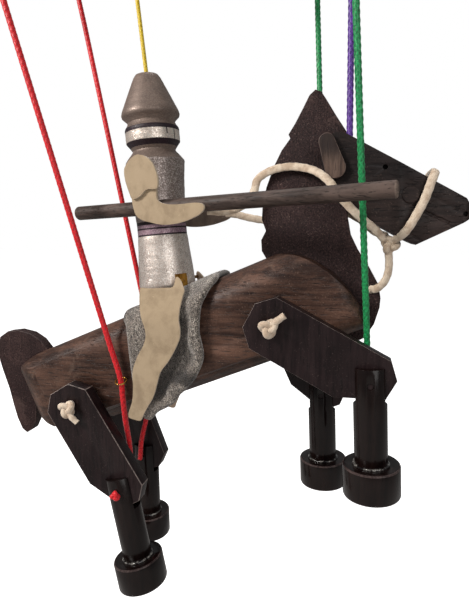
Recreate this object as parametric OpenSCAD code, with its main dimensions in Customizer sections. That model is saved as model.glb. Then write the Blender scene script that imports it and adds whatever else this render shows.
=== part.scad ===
// Marionette of a wooden horse and its rider, hung from a bar control by six cords.
// +X is the way the horse faces, +Y is its left and +Z is up.
// The origin is the top mouth of the hang hole in the control's main bar.
// Most shapes are set out from the front hip axis, which hip_frame() moves into place.

/* [Trunk] */
// Width of the trunk
trunk_w = 43; // [40:0.5:44]
// Height of the trunk
trunk_h = 53.5; // [50:0.5:56]
// Slope of the trunk as the horse hangs, nose up
trunk_pitch = 23; // [20:1:26]
// Distance between the front and rear hip axes
hip_span = 127; // [122:1:130]

/* [Legs] */
// Width of a thigh board
thigh_w = 30; // [28:0.5:31]
// Thickness of a thigh board
thigh_t = 8; // [7:0.5:8.5]
// Distance from hip to knee
thigh_len = 56; // [52:1:60]
// Diameter of a lower leg dowel
shank_d = 16.5; // [16:0.5:18]
// Distance from knee to hoof
shank_len = 42; // [38:1:46]
// Diameter of a hoof
hoof_d = 28.6; // [26:0.2:29]
// Height of a hoof
hoof_h = 16; // [14:0.5:18]

/* [Rider] */
// Height of the rider
rider_h = 120.4; // [117:0.1:122]
// Backward lean of the rider
rider_lean = 5; // [4:0.5:6]
// Diameter of the lance
lance_d = 7.8; // [7:0.1:8]

/* [Control] */
// Length of the main bar
bar_len = 200; // [195:1:210]
// Width of the bars
bar_w = 14; // [12:1:16]
// Diameter of the hang hole
hang_d = 6; // [4:0.5:7]

/* [Cords] */
// Diameter of the braided cords
cord_d = 2.6; // [2.2:0.1:2.8]
// Diameter of the rider's thinner cord
thin_cord_d = 1.8; // [1.5:0.1:2]
// Diameter of the leather lace
lace_d = 3.4; // [3:0.1:3.6]

/* [Hidden] */
$fn = 48;
right = -1;
left = 1;
gap = 0.3;
run_gap = 0.05;
// Front hip axis, measured from the hang hole
hip_x = 50;
hip_z = -205;
rear_u = -hip_span;
rear_v = -3;
thigh_y = 27;
// Swing of each thigh and shank, forward from straight down
swing_fr = [62.5, 3];
swing_fl = [24.5, 2.5];
swing_rr = [32, 11.5];
swing_rl = [21, 1];
trunk_top = 33;
trunk_bottom = trunk_top - trunk_h;
trunk_front = 45;
trunk_rear = -168;
neck_t = 9;
tail_t = 7;
slot_u = 6.5;
tail_u = -146;
knee_d = 3.4;
head_pin_d = 3.2;
head_pin_at = [31, 82];
knee_top = 8;
slot_deep = 11;
hoof_hole = 7;
bar_t = 10;
crossbar_t = 8;
front_bar_x = 73;
rear_bar_x = -95;
front_bar_len = 104;
rear_bar_len = 94;
front_bar_turn = 13;
rear_bar_turn = -4.5;
seat_at = [-66.29, 15.11];
shoulder_h = 64.4;
leg_pivot = [-54, 20.2];
leg_lace_d = 2;
ring_at = [-86, 24.6, -36.4];
ring_stem_d = 1.2;
lance_turn = 11;
lance_rise = 2.4;
suede_t = 1.6;
leg_y = 28.8;

// Places -------------------------------------------------------------------

module hip_frame() translate([hip_x, 0, hip_z]) children();

// Trunk axes: X runs along the trunk to the chest, Z is square to it
module trunk_frame() hip_frame() rotate([0, -trunk_pitch, 0]) children();

module rider_frame() hip_frame() translate([seat_at[0], 0, seat_at[1]])
    rotate([0, -rider_lean, 0]) children();

// X runs along the lance to its point, Y = 0 is the lance's own axis
module lance_frame() hip_frame() translate([-70, -21, 60])
    rotate([0, -lance_rise, -lance_turn]) children();

// A flat outline in the XZ plane, as a board of thickness t centred on y
module board(t, y = 0) translate([0, y + t / 2, 0]) rotate([90, 0, 0])
    linear_extrude(t) children();

function from_trunk(u, v) = [u * cos(trunk_pitch) - v * sin(trunk_pitch),
    u * sin(trunk_pitch) + v * cos(trunk_pitch)];
function rear_hip() = from_trunk(rear_u, rear_v);
function knee_of(hip, swing) = hip + thigh_len * [sin(swing[0]), -cos(swing[0])];

// Round rod along Y between two y values, at a place in the XZ plane
module rod_y(d, y0, y1, at = [0, 0]) translate([at[0], y0, at[1]])
    rotate([-90, 0, 0]) cylinder(d = d, h = y1 - y0);

// Cord: an eight sided tube swept along a list of points --------------------

function unit(v) = v / norm(v);
function tangent(p, i) = unit(p[min(i + 1, len(p) - 1)] - p[max(i - 1, 0)]);
function ring(p, i, r, ref) = let (t = tangent(p, i), a = unit(cross(t, ref)), b = cross(t, a))
    [for (k = [0:7]) p[i] + r * (cos(45 * k) * a + sin(45 * k) * b)];
module tube(p, d, ref = [0, 1, 0]) {
    n = len(p);
    points = [for (i = [0:n - 1]) each ring(p, i, d / 2, ref)];
    sides = [for (i = [0:n - 2], k = [0:7])
        [8 * i + k, 8 * i + (k + 1) % 8, 8 * i + 8 + (k + 1) % 8, 8 * i + 8 + k]];
    polyhedron(points, concat(sides, [[7, 6, 5, 4, 3, 2, 1, 0]],
        [[for (k = [0:7]) 8 * (n - 1) + k]]), convexity = 4);
}

// Control --------------------------------------------------------------------

module control_bar() color("burlywood") difference() {
    translate([rear_bar_x - 17, -bar_w / 2, -bar_t]) cube([bar_len, bar_w, bar_t]);
    translate([0, 0, -bar_t - 1]) cylinder(d = hang_d, h = bar_t + 2);
    for (x = [front_bar_x, rear_bar_x]) translate([x, 0, -6]) cylinder(d = 3, h = 7);
    for (p = [head_string_ends, rider_string_ends])
        translate([p[0][0], p[0][1], -bar_t - 1]) cylinder(d = 3.4, h = bar_t + 2);
}

// A crossbar lies on the main bar and is held by one screw
module crossbar(x, length, turn) translate([x, 0, 0]) rotate(turn) difference() {
    translate([-bar_w / 2, -length / 2, 0]) cube([bar_w, length, crossbar_t]);
    translate([0, 0, -1]) cylinder(d = 3.4, h = crossbar_t + 2);
    translate([0, 0, crossbar_t - 1.5]) cylinder(d = 7.4, h = 2);
    for (s = [right, left]) translate([0, s * (length / 2 - 7), -1])
        cylinder(d = 3.4, h = crossbar_t + 2);
}
module front_crossbar() color("burlywood") crossbar(front_bar_x, front_bar_len, front_bar_turn);
module rear_crossbar() color("burlywood") crossbar(rear_bar_x, rear_bar_len, rear_bar_turn);
module crossbar_screws() color("goldenrod") for (x = [front_bar_x, rear_bar_x]) {
    translate([x, 0, -6]) cylinder(d = 3, h = crossbar_t + 4.5);
    translate([x, 0, crossbar_t - 1.5]) cylinder(d = 7, h = 2);
}

// End of a crossbar, where its cord comes up
function bar_end(x, length, turn, side) = [x - side * (length / 2 - 7) * sin(turn),
    side * (length / 2 - 7) * cos(turn)];
module control_knots() color("crimson") {
    for (s = [right, left]) {
        for (p = [bar_end(front_bar_x, front_bar_len, front_bar_turn, s),
                bar_end(rear_bar_x, rear_bar_len, rear_bar_turn, s)])
            translate([p[0], p[1], crossbar_t + 2.2]) sphere(d = 5);
    }
    for (p = [head_string_ends, rider_string_ends])
        translate([p[0][0], p[0][1], 2.2]) sphere(d = 5);
}

// Horse's trunk, neck and tail ----------------------------------------------

// Side view of the trunk: round rump, and a chest that falls away to the front
module trunk_side() {
    upper_r = 21;
    lower = [50, trunk_h - upper_r];
    translate([trunk_rear + upper_r, trunk_top - upper_r]) circle(upper_r);
    intersection() {
        translate([trunk_rear + lower[0], trunk_top - upper_r]) scale([1, lower[1] / lower[0]])
            circle(lower[0]);
        translate([trunk_rear, trunk_bottom]) square(lower);
    }
    translate([trunk_rear + upper_r, trunk_top - upper_r]) square([lower[0], upper_r]);
    translate([trunk_rear + lower[0], trunk_bottom])
        square([8 - trunk_rear - lower[0], trunk_h]);
    intersection() {
        translate([8, trunk_bottom]) scale([1, 1.46]) circle(trunk_front - 8);
        translate([8, trunk_bottom]) square([60, 60]);
    }
}
// Section of the trunk: a rectangle with well rounded corners
module rounded(w, h, r) translate([-w / 2, 0]) {
    translate([r, 0]) square([w - 2 * r, h]);
    translate([0, r]) square([w, h - 2 * r]);
    for (x = [r, w - r], y = [r, h - r]) translate([x, y]) circle(r);
}
// Plan of the trunk: a round rump and round cheeks
module trunk_plan() {
    rump_r = 20;
    cheek_r = 8;
    translate([trunk_rear + rump_r, 0]) circle(rump_r);
    translate([trunk_rear + rump_r, -trunk_w / 2])
        square([trunk_front - cheek_r - trunk_rear - rump_r, trunk_w]);
    for (s = [right, left]) translate([trunk_front - cheek_r, s * (trunk_w / 2 - cheek_r)])
        circle(cheek_r);
}
module trunk() color("#3a2c2a") trunk_frame() difference() {
    intersection() {
        board(60) trunk_side();
        translate([0, 0, trunk_bottom - 2]) linear_extrude(60) trunk_plan();
        translate([trunk_rear - 2, 0, trunk_bottom]) rotate([90, 0, 90])
            linear_extrude(230) rounded(trunk_w, trunk_h, 14);
    }
    translate([slot_u, -neck_t / 2 - gap / 2, trunk_bottom - 1])
        cube([60, neck_t + gap, trunk_h + 2]);
    translate([trunk_rear - 1, -tail_t / 2 - gap / 2, trunk_bottom - 1])
        cube([tail_u - trunk_rear + 1, tail_t + gap, trunk_h + 2]);
    rod_y(lace_d + 0.1, -30, 30);
    rod_y(lace_d + 0.1, -30, 30, [rear_u, rear_v]);
    translate([-59, 0, 8]) cylinder(d = lace_d + 0.1, h = 30);
    rotate([0, trunk_pitch, 0]) for (s = [right, left]) ring_stem(s);
}

// Neck and mane cut from one board, in three locks behind
module neck_board() color("#372d2c") hip_frame() difference() {
    board(neck_t) difference() {
        polygon([[14.4, -16.4], [30, -14.5], [40, -12.5], [47, -8.5], [51.5, -1], [54, 8],
            [54.3, 13], [53, 20], [48, 29], [42, 38], [38, 46], [36, 56], [35.6, 76], [35, 97],
            [29, 106], [24, 114], [21, 118.5], [18, 119.6], [15, 117], [12, 111], [8, 103.5],
            [4.5, 98], [5.5, 96], [1, 90], [-3, 82], [-7, 71], [-9, 61], [-9.3, 54], [-7, 48],
            [-9.6, 43], [-9.2, 37], [-5.7, 31.3]]);
        translate(head_pin_at) circle(d = head_pin_d + 2 * run_gap);
    }
    rod_y(3, -20, 20, [49, 17.5]);
}

// Tail board, in the slot of the rump
module tail_board() color("#372d2c") hip_frame() board(tail_t)
    polygon([[-147.5, -27.5], [-153, -21], [-160, -17], [-169, -15.4], [-177, -16.6],
        [-183, -20.5], [-185.5, -27], [-185, -34], [-182.5, -43], [-178.5, -55], [-176, -66],
        [-173.6, -75], [-170.5, -82], [-167, -84.6], [-163, -82], [-159.5, -75], [-159, -66],
        [-152, -60], [-138, -50]]);

// Head ------------------------------------------------------------------------

module head() color("#242022") hip_frame() difference() {
    intersection() {
        board(30) polygon([[34, 96], [92, 63.6], [94.5, 60], [94.8, 54], [91, 51.6], [69.5, 41],
            [64, 43.4], [31, 62], [24.5, 71], [21.5, 88], [24, 94], [29, 96.6]]);
        linear_extrude(120) polygon([[18, -12.5], [60, -11.6], [92, -8.6], [95, -6.5],
            [95, 6.5], [92, 8.6], [60, 11.6], [18, 12.5]]);
    }
    translate([0, -neck_t / 2 - gap, 30]) cube([46, neck_t + 2 * gap, 90]);
    rod_y(head_pin_d, -20, 20, head_pin_at);
    rod_y(8, -20, 20, [66, 65.5]);
    rod_y(2.6, -20, -8, [53.5, 79]);
    rod_y(2.6, 8, 20, [53.5, 79]);
    for (s = [right, left]) translate([92, s * 6, 56]) rotate([s * -90, 0, 0])
        cylinder(d = 2.6, h = 6);
    translate([36, -8.4, 86]) cylinder(d = 3, h = 20);
}
module head_pin() color("#3a3232") hip_frame() rod_y(head_pin_d, -12.2, 12.2, head_pin_at);
module jaw_dowel() color("#39302e") hip_frame() rod_y(8, -12, 12, [66, 65.5]);

// Ear: a flat tongue with a round end, glued to the cheek
module ear(side) color("#5a504c") hip_frame() board(2.6, side * 13.9) difference() {
    hull() {
        translate([25, 92]) circle(4);
        translate([29.5, 79]) circle(5.2);
    }
}
module right_ear() ear(right);
module left_ear() ear(left);

// Legs ----------------------------------------------------------------------

module thigh_place(hip, swing, side) hip_frame() translate([hip[0], side * thigh_y, hip[1]])
    rotate([0, -swing[0], 0]) children();
module shank_place(hip, swing, side) hip_frame()
    translate([knee_of(hip, swing)[0], side * thigh_y, knee_of(hip, swing)[1]])
    rotate([0, -swing[1], 0]) children();

// Board with cut corners, hanging down from the hip. Its rear corner at the knee is cut
// longer, so that it clears the bottom of the knee slot.
module thigh(hip, swing, side) color("#2a2426") thigh_place(hip, swing, side) difference() {
    w = thigh_w / 2;
    end = thigh_len + 10;
    board(thigh_t) polygon([[w - 8, 12], [w, 4], [w, -end + 7], [w - 7, -end], [3 - w + 9, -end],
        [-w, -thigh_len + 12], [-w, 4], [8 - w, 12]]);
    rod_y(lace_d + 0.1, -10, 10);
    rod_y(knee_d + 2 * run_gap, -10, 10, [0, -thigh_len]);
}
// Dowel with a slot at its top for the thigh and a cross hole for the knee pin
module shank(hip, swing, side) color("#1c1819") shank_place(hip, swing, side) difference() {
    translate([0, 0, -shank_len - hoof_hole + 0.5])
        cylinder(d = shank_d, h = shank_len + hoof_hole - 0.5 + knee_top);
    translate([-15, -thigh_t / 2 - gap, -slot_deep]) cube([30, thigh_t + 2 * gap, 40]);
    rod_y(knee_d, -15, 15);
}
module hoof(hip, swing, side) color("#1c1819") shank_place(hip, swing, side)
    translate([0, 0, -shank_len - hoof_h]) difference() {
        cylinder(d = hoof_d, h = hoof_h);
        translate([0, 0, hoof_h - hoof_hole]) cylinder(d = shank_d, h = hoof_hole + 1);
    }
module knee_pin(hip, swing, side) color("#2a2426") shank_place(hip, swing, side)
    rod_y(knee_d, -7.6, 7.6);

module front_right_thigh() thigh([0, 0], swing_fr, right);
module front_left_thigh() thigh([0, 0], swing_fl, left);
module rear_right_thigh() thigh(rear_hip(), swing_rr, right);
module rear_left_thigh() thigh(rear_hip(), swing_rl, left);
module front_right_shank() shank([0, 0], swing_fr, right);
module front_left_shank() shank([0, 0], swing_fl, left);
module rear_right_shank() shank(rear_hip(), swing_rr, right);
module rear_left_shank() shank(rear_hip(), swing_rl, left);
module front_right_hoof() hoof([0, 0], swing_fr, right);
module front_left_hoof() hoof([0, 0], swing_fl, left);
module rear_right_hoof() hoof(rear_hip(), swing_rr, right);
module rear_left_hoof() hoof(rear_hip(), swing_rl, left);
module front_right_knee_pin() knee_pin([0, 0], swing_fr, right);
module front_left_knee_pin() knee_pin([0, 0], swing_fl, left);
module rear_right_knee_pin() knee_pin(rear_hip(), swing_rr, right);
module rear_left_knee_pin() knee_pin(rear_hip(), swing_rl, left);

// Lace through both thighs and the trunk, with a knot outside each thigh
module hip_lace(at) color("#decaaf") hip_frame() {
    rod_y(lace_d, -32.5, 32.5, at);
    for (s = [right, left]) translate([at[0], s * 33.8, at[1]]) sphere(d = 6.4);
}
module front_hip_lace() hip_lace([0, 0]);
module rear_hip_lace() hip_lace(rear_hip());

// Brass eye on each side of the trunk, which leads the rear cord
module ring_stem(side) translate([ring_at[0], side * 15, ring_at[2]]) rotate([side * -90, 0, 0])
    cylinder(d = ring_stem_d, h = 7);
module guide_rings() color("goldenrod") hip_frame() for (s = [right, left]) {
    ring_stem(s);
    translate([ring_at[0], s * ring_at[1], ring_at[2]])
        rotate_extrude() translate([2.6, 0]) circle(0.5, $fn = 16);
}

// Rider -----------------------------------------------------------------------

// Turned figure: plinth, body, neck groove, helmet and its domed top. A notch on each side of
// the plinth takes the tab of a leg.
module rider_body() color("#a8a09a") rider_frame() difference() {
    pivot = [12.7, 4];
    rotate_extrude() polygon([[0, 0], [15.9, 0.9], [16.5, 2], [16.3, 5], [15.8, 12.4],
        [14.9, 22.4], [14.4, 29.4], [14.2, 30.4], [14.2, 38.4], [14.4, 39.4], [15, 52.4],
        [15.7, 62.4], [16.6, 70.4], [16.7, 72.4], [16, 74], [12.4, 77.4], [12.2, 78.4],
        [13.4, 80.4], [15.2, 82.9], [15.3, 91.4], [14.2, 92.8], [13.3, 93.9], [16.2, 97],
        [16.5, 98], [16, 99.9], [7.6, rider_h - 2], [6.4, rider_h - 0.6], [4, rider_h],
        [0, rider_h]]);
    rod_y(lace_d + 0.1, -20, 20, [0, shoulder_h]);
    rod_y(leg_lace_d + 0.1, -20, 20, pivot);
    for (s = [right, left]) translate([10, s * 12.5 - 6, -1]) cube([5, 12, 9]);
    translate([0, 0, -1]) cylinder(d = lace_d + 1, h = 15);
    translate([0, 0, rider_h - 8]) cylinder(d = 2.2, h = 10);
}
// Lace through the shoulders. Each end stops under an upper arm, glued to it.
module shoulder_lace() color("#decaaf") rider_frame() rod_y(lace_d, -26.3, 20, [0, shoulder_h]);

// Suede arm pieces lie in flat layers beside the body, side by side with the lance
module arm_layer(y) translate([0, y, 0]) board(suede_t) children();
module arm_hole() translate([0, 19.2]) circle(d = lace_d + 1);
module upper_arm_shape() polygon([[-0.8, 26.2], [1.5, 27], [3.8, 26.7], [6.8, 25.6], [9.3, 23.8],
    [11.3, 21.2], [12.6, 18.1], [13.4, 15.4], [13.6, 13], [13.4, 10.6], [12.6, 8.9], [10, 8.8],
    [7, 9.1], [5.2, 8.4], [3.6, 7], [1.2, 5.4], [-1.1, 4.7], [-3.1, 4.9], [-4.4, 7.6],
    [-5.6, 10.9], [-6.6, 15], [-6.9, 19], [-6.5, 21], [-5.4, 22.5], [-3.4, 24.6]]);
// The hand reaches along the lance to reach
module forearm_shape(reach) {
    wrist = 13;
    k = (reach - wrist) / 25.8;
    hand = [[14.5, -9.5], [20, -9.5], [24.7, -8.9], [28.5, -8.1], [32.3, -6.9], [35.2, -5.8],
        [37.4, -4.4], [38.8, -2.5], [38.7, -1.2], [37.6, -0.2], [35.8, 0.3], [31.6, 0.5],
        [23.9, 0.3], [19, 0.6], [16.5, 1]];
    difference() {
        polygon(concat([[-4.4, 5], [-4.2, 2.9], [-3.7, 0], [-3, -2.5], [-2, -4.2], [-0.7, -5.4],
            [2.6, -6.9], [6.8, -8], [11, -9]], [for (q = hand) [wrist + (q[0] - wrist) * k, q[1]]],
            [[12.6, 2.4], [11.4, 4], [11.1, 6], [11.4, 8.7], [10.4, 13], [7.6, 18.5], [5.4, 21.6],
            [3, 23.4], [0, 23.9], [-3, 22.6], [-4.6, 19.6], [-5.2, 15], [-5, 10]]));
        arm_hole();
    }
}
// Frame of the far arm: the same slant as the lance, on the body's other side
module far_arm_frame() hip_frame() translate([-72, 19.4, 60])
    rotate([0, 0, -lance_turn]) children();
module right_forearm() color("#b0a084") lance_frame() arm_layer(-4.9) forearm_shape(38.8);
module right_upper_arm() color("#b0a084") lance_frame() arm_layer(-6.7) upper_arm_shape();
module left_forearm() color("#8d8069") far_arm_frame() arm_layer(0) forearm_shape(43);
module left_upper_arm() color("#8d8069") far_arm_frame() arm_layer(1.8) upper_arm_shape();
module lance() color("#554b46") lance_frame() translate([-47, 0, 0]) rotate([0, 90, 0])
    cylinder(d = lance_d, h = 177);

// Suede legs hang from one lace through the plinth. Each has a tab in the plinth's notch and
// bends outward over the saddle blanket, then hangs straight down.
module leg_bend(side) {
    line = [[-80, leg_y], [-4, leg_y], [-1, 28.5], [2, 27.9], [5, 26.9], [10, 24.8], [15, 22.2],
        [18, 20.3], [20.4, 18.6], [23, 17.4], [30, 16.9]];
    half = suede_t / 2;
    translate([-100, 0, 0]) rotate([90, 0, 90]) linear_extrude(80)
        polygon(concat([for (q = line) [side * (q[1] + half), q[0]]],
            [for (i = [len(line) - 1:-1:0]) [side * (line[i][1] - half), line[i][0]]]));
}
module leg_outline() polygon([[-74, 16.4], [-66.6, 16.4], [-57, 17.4], [-56.3, 18.2], [-56.6, 20],
    [-56.2, 22.6], [-55.2, 23.4], [-53.4, 22.9], [-51.3, 21.4], [-50, 19.6], [-48, 16.1],
    [-48.6, 12.8], [-49.2, 7], [-49.2, 1.3], [-48.3, -3.8], [-48.6, -8.3], [-51.2, -14.6],
    [-55.4, -21.9], [-59.6, -27.6], [-61.8, -34.1], [-63.6, -40.6], [-66.8, -44.6], [-70, -47.7],
    [-71.2, -51], [-71.6, -55.1], [-73.6, -56.6], [-77, -56.8], [-79.2, -55.9], [-79.8, -53.5],
    [-77.2, -45.8], [-76.2, -36.8], [-76.2, -28.8], [-73.5, -20.7], [-69.5, -13.4], [-68.1, -8.6],
    [-68.4, -4.8], [-70.9, 1.9], [-72.6, 8], [-73.6, 13]]);
module suede_leg(side, stretch) hip_frame() difference() {
    intersection() {
        leg_bend(side);
        translate([0, 40, 0]) rotate([90, 0, 0]) linear_extrude(80) translate(leg_pivot)
            scale([1, stretch]) translate(-leg_pivot) leg_outline();
    }
    rod_y(leg_lace_d + 0.2, -40, 40, leg_pivot);
}
module right_leg() color("#b0a084") suede_leg(right, 1);
module left_leg() color("#8d8069") suede_leg(left, 1.18);
module leg_lace() color("#decaaf") hip_frame() rod_y(leg_lace_d, -19.2, 19.2, leg_pivot);
module seat_lace() color("#decaaf") hip_frame() tube([[-59.8, 0, -10.2], [-63, 0, -2.6],
    [-66, 0, 4.6], [-67.5, 0, 8.4], [-67.4, 0, 13], [-66.8, 0, 18], [-67, 0, 22],
    [-67.4, 0, 27]], 2.6);

// Felt saddle cloth over the trunk, cut to an uneven outline and pressed in under the plinth
module saddle_blanket() color("#78766f") difference() {
    intersection() {
        trunk_frame() translate([trunk_rear, 0, 0]) rotate([90, 0, 90]) linear_extrude(230)
            translate([0, trunk_bottom - 40]) rounded(trunk_w + 7.6, trunk_h + 43.8, 17.5);
        hip_frame() board(70) polygon([[-86, 4], [-84, -22], [-79, -42], [-72, -55], [-66, -54],
            [-57, -48], [-49, -39], [-40, -27], [-36, -18], [-39.5, 0], [-38, 11], [-26, 24],
            [-32, 33], [-60, 22]]);
    }
    trunk_frame() translate([trunk_rear - 5, 0, 0]) rotate([90, 0, 90]) linear_extrude(240)
        translate([0, trunk_bottom - 60]) rounded(trunk_w + 0.8, trunk_h + 60.4, 14.4);
    trunk_frame() translate([-59, 0, 20]) cylinder(d = 6.4, h = 30);
    rider_frame() translate([0, 0, -0.5]) cylinder(r = 17.4, h = 30);
}

// Reins -----------------------------------------------------------------------

rein_knot_at = [57, -4, 42];
module right_rein() color("#decaaf") hip_frame() tube([[-36, -18, 58.5], [-28, -16.5, 58],
    [-20, -14, 60], [-15, -11, 64], [-12.5, -9, 69.5], [-11, -8, 75], [-4, -7.4, 79.5],
    [6, -7.2, 81.2], [16, -9.5, 79.5], [22, -14, 76.4], [27, -17, 72], [33, -17.2, 64],
    [42, -16, 55], [50, -11, 48.5], [54.4, -6.6, 44]], lace_d);
module left_rein() color("#decaaf") hip_frame() tube([[-33, 8.8, 58], [-27, 8.6, 57.4],
    [-19, 8.2, 55.5], [-8, 7.8, 54], [8, 6.9, 56], [22, 9, 59], [34, 14.6, 58.5], [43, 14.4, 54],
    [50, 9, 48], [56, -1, 45]], lace_d);
module noseband() color("#decaaf") hip_frame() tube([[59.5, -7, 43.4], [62.5, -11.6, 45.6],
    [65, -13.9, 48.8], [69, -13.6, 56], [72.5, -12.9, 63.6], [75, -12.5, 71.5], [76.4, -11.5, 75.2],
    [77, -8.6, 76.6], [77, 0, 76.8], [77, 8.6, 76.6], [76.4, 11.5, 75.2], [75, 12.5, 71.5],
    [72.5, 12.9, 63.6], [69, 13.6, 56], [65, 13.9, 47.6], [61.5, 9.6, 43], [58.6, 1, 41]],
    lace_d, [0.85, 0, -0.53]);
module rein_knot() color("#decaaf") hip_frame() translate(rein_knot_at) sphere(d = 8);
module chest_lace() color("#decaaf") hip_frame() tube([[57, -4.4, 38.4], [57.6, -5, 33],
    [57.4, -6.2, 27], [55.6, -7, 22], [52.4, -6.9, 18.6], [49, -6.9, 17.5]], lace_d);

// Control cords ---------------------------------------------------------------

function at_bar(p, z) = [p[0], p[1], z];
function low(x, y, z) = [hip_x + x, y, hip_z + z];
// A straight run from a to b in n equal steps, b left out
function run(a, b, n) = [for (i = [0:n - 1]) a + (b - a) * i / n];
// A cord's start, straight down through its hole from the knot at p, then a run to b
function from_bar(p, top, drop, b, n) =
    concat([at_bar(p, top)], run(at_bar(p, top - drop), b, n));
front_right_top = bar_end(front_bar_x, front_bar_len, front_bar_turn, right);
front_left_top = bar_end(front_bar_x, front_bar_len, front_bar_turn, left);
rear_right_top = bar_end(rear_bar_x, rear_bar_len, rear_bar_turn, right);
rear_left_top = bar_end(rear_bar_x, rear_bar_len, rear_bar_turn, left);
head_string_ends = [[84, -4, 0], low(36, -8.4, 91)];
rider_string_ends = [[-33.4, 0, 0], low(-76.5, 0, 132.5)];

module front_right_string() color("seagreen")
    tube(concat(from_bar(front_right_top, crossbar_t, 9, low(48.4, -16.9, -14), 12),
        [low(48.4, -16.9, -14), low(49.5, -16.9, -25.6)]), cord_d);
module front_left_string() color("seagreen")
    tube(concat(from_bar(front_left_top, crossbar_t, 9, low(23.4, 24.4, 20), 10),
        [low(23.4, 24.4, 20), low(22.9, 23.6, 3), low(22.6, 21.6, -8), low(22.7, 18.6, -25),
        low(23, 16.9, -37), low(23.2, 16.9, -50.6)]), cord_d);
module rear_right_string() color("crimson")
    tube(concat(from_bar(rear_right_top, crossbar_t, 9, low(-86, -24.7, -36.4), 10),
        [low(-86, -24.7, -36.4), low(-84.4, -23.2, -50), low(-81.2, -19.6, -66),
        low(-81.8, -16.9, -84), low(-86, -16.9, -99.6)]), cord_d);
module rear_left_string() color("crimson")
    tube(concat(from_bar(rear_left_top, crossbar_t, 9, low(-86, 24.7, -36.4), 10),
        [low(-86, 24.7, -36.4), low(-87.5, 23, -52), low(-91, 19.4, -74),
        low(-94.4, 16.9, -92), low(-95.6, 16.9, -104.4)]), cord_d);
module head_string() color("indigo")
    tube(concat(from_bar(head_string_ends[0], 0, 11, head_string_ends[1], 6),
        [head_string_ends[1]]), cord_d);
module rider_string() color("gold")
    tube(concat(from_bar(rider_string_ends[0], 0, 11, rider_string_ends[1], 4),
        [rider_string_ends[1]]), thin_cord_d);

control_bar();
front_crossbar();
rear_crossbar();
crossbar_screws();
control_knots();
trunk();
neck_board();
tail_board();
head();
head_pin();
jaw_dowel();
right_ear();
left_ear();
front_right_thigh();
front_left_thigh();
rear_right_thigh();
rear_left_thigh();
front_right_shank();
front_left_shank();
rear_right_shank();
rear_left_shank();
front_right_hoof();
front_left_hoof();
rear_right_hoof();
rear_left_hoof();
front_right_knee_pin();
front_left_knee_pin();
rear_right_knee_pin();
rear_left_knee_pin();
front_hip_lace();
rear_hip_lace();
guide_rings();
rider_body();
shoulder_lace();
right_upper_arm();
left_upper_arm();
right_forearm();
left_forearm();
lance();
leg_lace();
right_leg();
left_leg();
seat_lace();
saddle_blanket();
right_rein();
left_rein();
noseband();
rein_knot();
chest_lace();
front_right_string();
front_left_string();
rear_right_string();
rear_left_string();
head_string();
rider_string();
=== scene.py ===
"""Looks of the marionette: a turned knight on a jointed wooden horse, under its control.

Points called "hip" are in millimetres from the front hip, X forward and Z up. at() turns
one into the row frame, in metres.
"""

from math import acos, ceil, cos, degrees, exp, hypot, pi, radians, sin

import bmesh
import bpy
import numpy as np
from mathutils import Matrix, Vector, noise
from mathutils.geometry import delaunay_2d_cdt


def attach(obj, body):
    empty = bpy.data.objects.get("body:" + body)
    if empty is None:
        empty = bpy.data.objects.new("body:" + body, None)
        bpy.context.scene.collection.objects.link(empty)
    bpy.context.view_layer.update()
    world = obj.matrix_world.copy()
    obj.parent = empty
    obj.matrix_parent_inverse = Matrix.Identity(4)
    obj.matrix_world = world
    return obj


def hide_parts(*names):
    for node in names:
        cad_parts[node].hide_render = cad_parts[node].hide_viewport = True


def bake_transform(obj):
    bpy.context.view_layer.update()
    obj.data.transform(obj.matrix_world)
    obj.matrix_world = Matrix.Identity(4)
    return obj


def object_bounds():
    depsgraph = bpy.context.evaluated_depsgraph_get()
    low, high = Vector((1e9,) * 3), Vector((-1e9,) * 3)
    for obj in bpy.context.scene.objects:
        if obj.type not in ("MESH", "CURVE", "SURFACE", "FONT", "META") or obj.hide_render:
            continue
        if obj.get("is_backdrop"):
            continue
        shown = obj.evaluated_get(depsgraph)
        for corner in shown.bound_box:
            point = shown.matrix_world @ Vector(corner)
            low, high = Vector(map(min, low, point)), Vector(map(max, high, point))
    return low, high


MM = 0.001
HIP = (50.0, 0.0, -205.0)
NEAR, FAR = -1, 1
SIDES = ((NEAR, "right"), (FAR, "left"))
# Where the camera stands, its angles round and above the object, and its film's height and lens
CAMERA_AT = (0.0903, -0.2648, -0.1579)
CAMERA_TURN = radians(14), radians(8)
CAMERA_FILM = 36, 28.8

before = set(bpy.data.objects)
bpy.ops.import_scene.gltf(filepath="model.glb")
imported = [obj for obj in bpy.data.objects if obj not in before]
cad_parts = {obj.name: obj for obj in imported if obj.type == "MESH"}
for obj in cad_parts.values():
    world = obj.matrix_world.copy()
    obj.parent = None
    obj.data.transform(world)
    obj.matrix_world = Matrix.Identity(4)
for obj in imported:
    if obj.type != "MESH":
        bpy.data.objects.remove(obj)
cad_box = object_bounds()


def at(x, y, z):
    """A hip point in the row frame, in metres."""
    return Vector(((x + HIP[0]) * MM, (y + HIP[1]) * MM, (z + HIP[2]) * MM))


def rotated(x, y, angle):
    return x * cos(angle) - y * sin(angle), x * sin(angle) + y * cos(angle)


def clamped(value):
    """value, kept from 0 to 1."""
    return min(1.0, max(0.0, value))


def add_object(name, data):
    made = bpy.data.objects.new(name, data)
    bpy.context.scene.collection.objects.link(made)
    return made


def srgb(red, green, blue):
    """A screen colour from 0 to 255 as a linear colour."""
    parts = [c / 255 for c in (red, green, blue)]
    return tuple(c / 12.92 if c < 0.04045 else ((c + 0.055) / 1.055) ** 2.4 for c in parts) + (1.0,)


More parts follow.
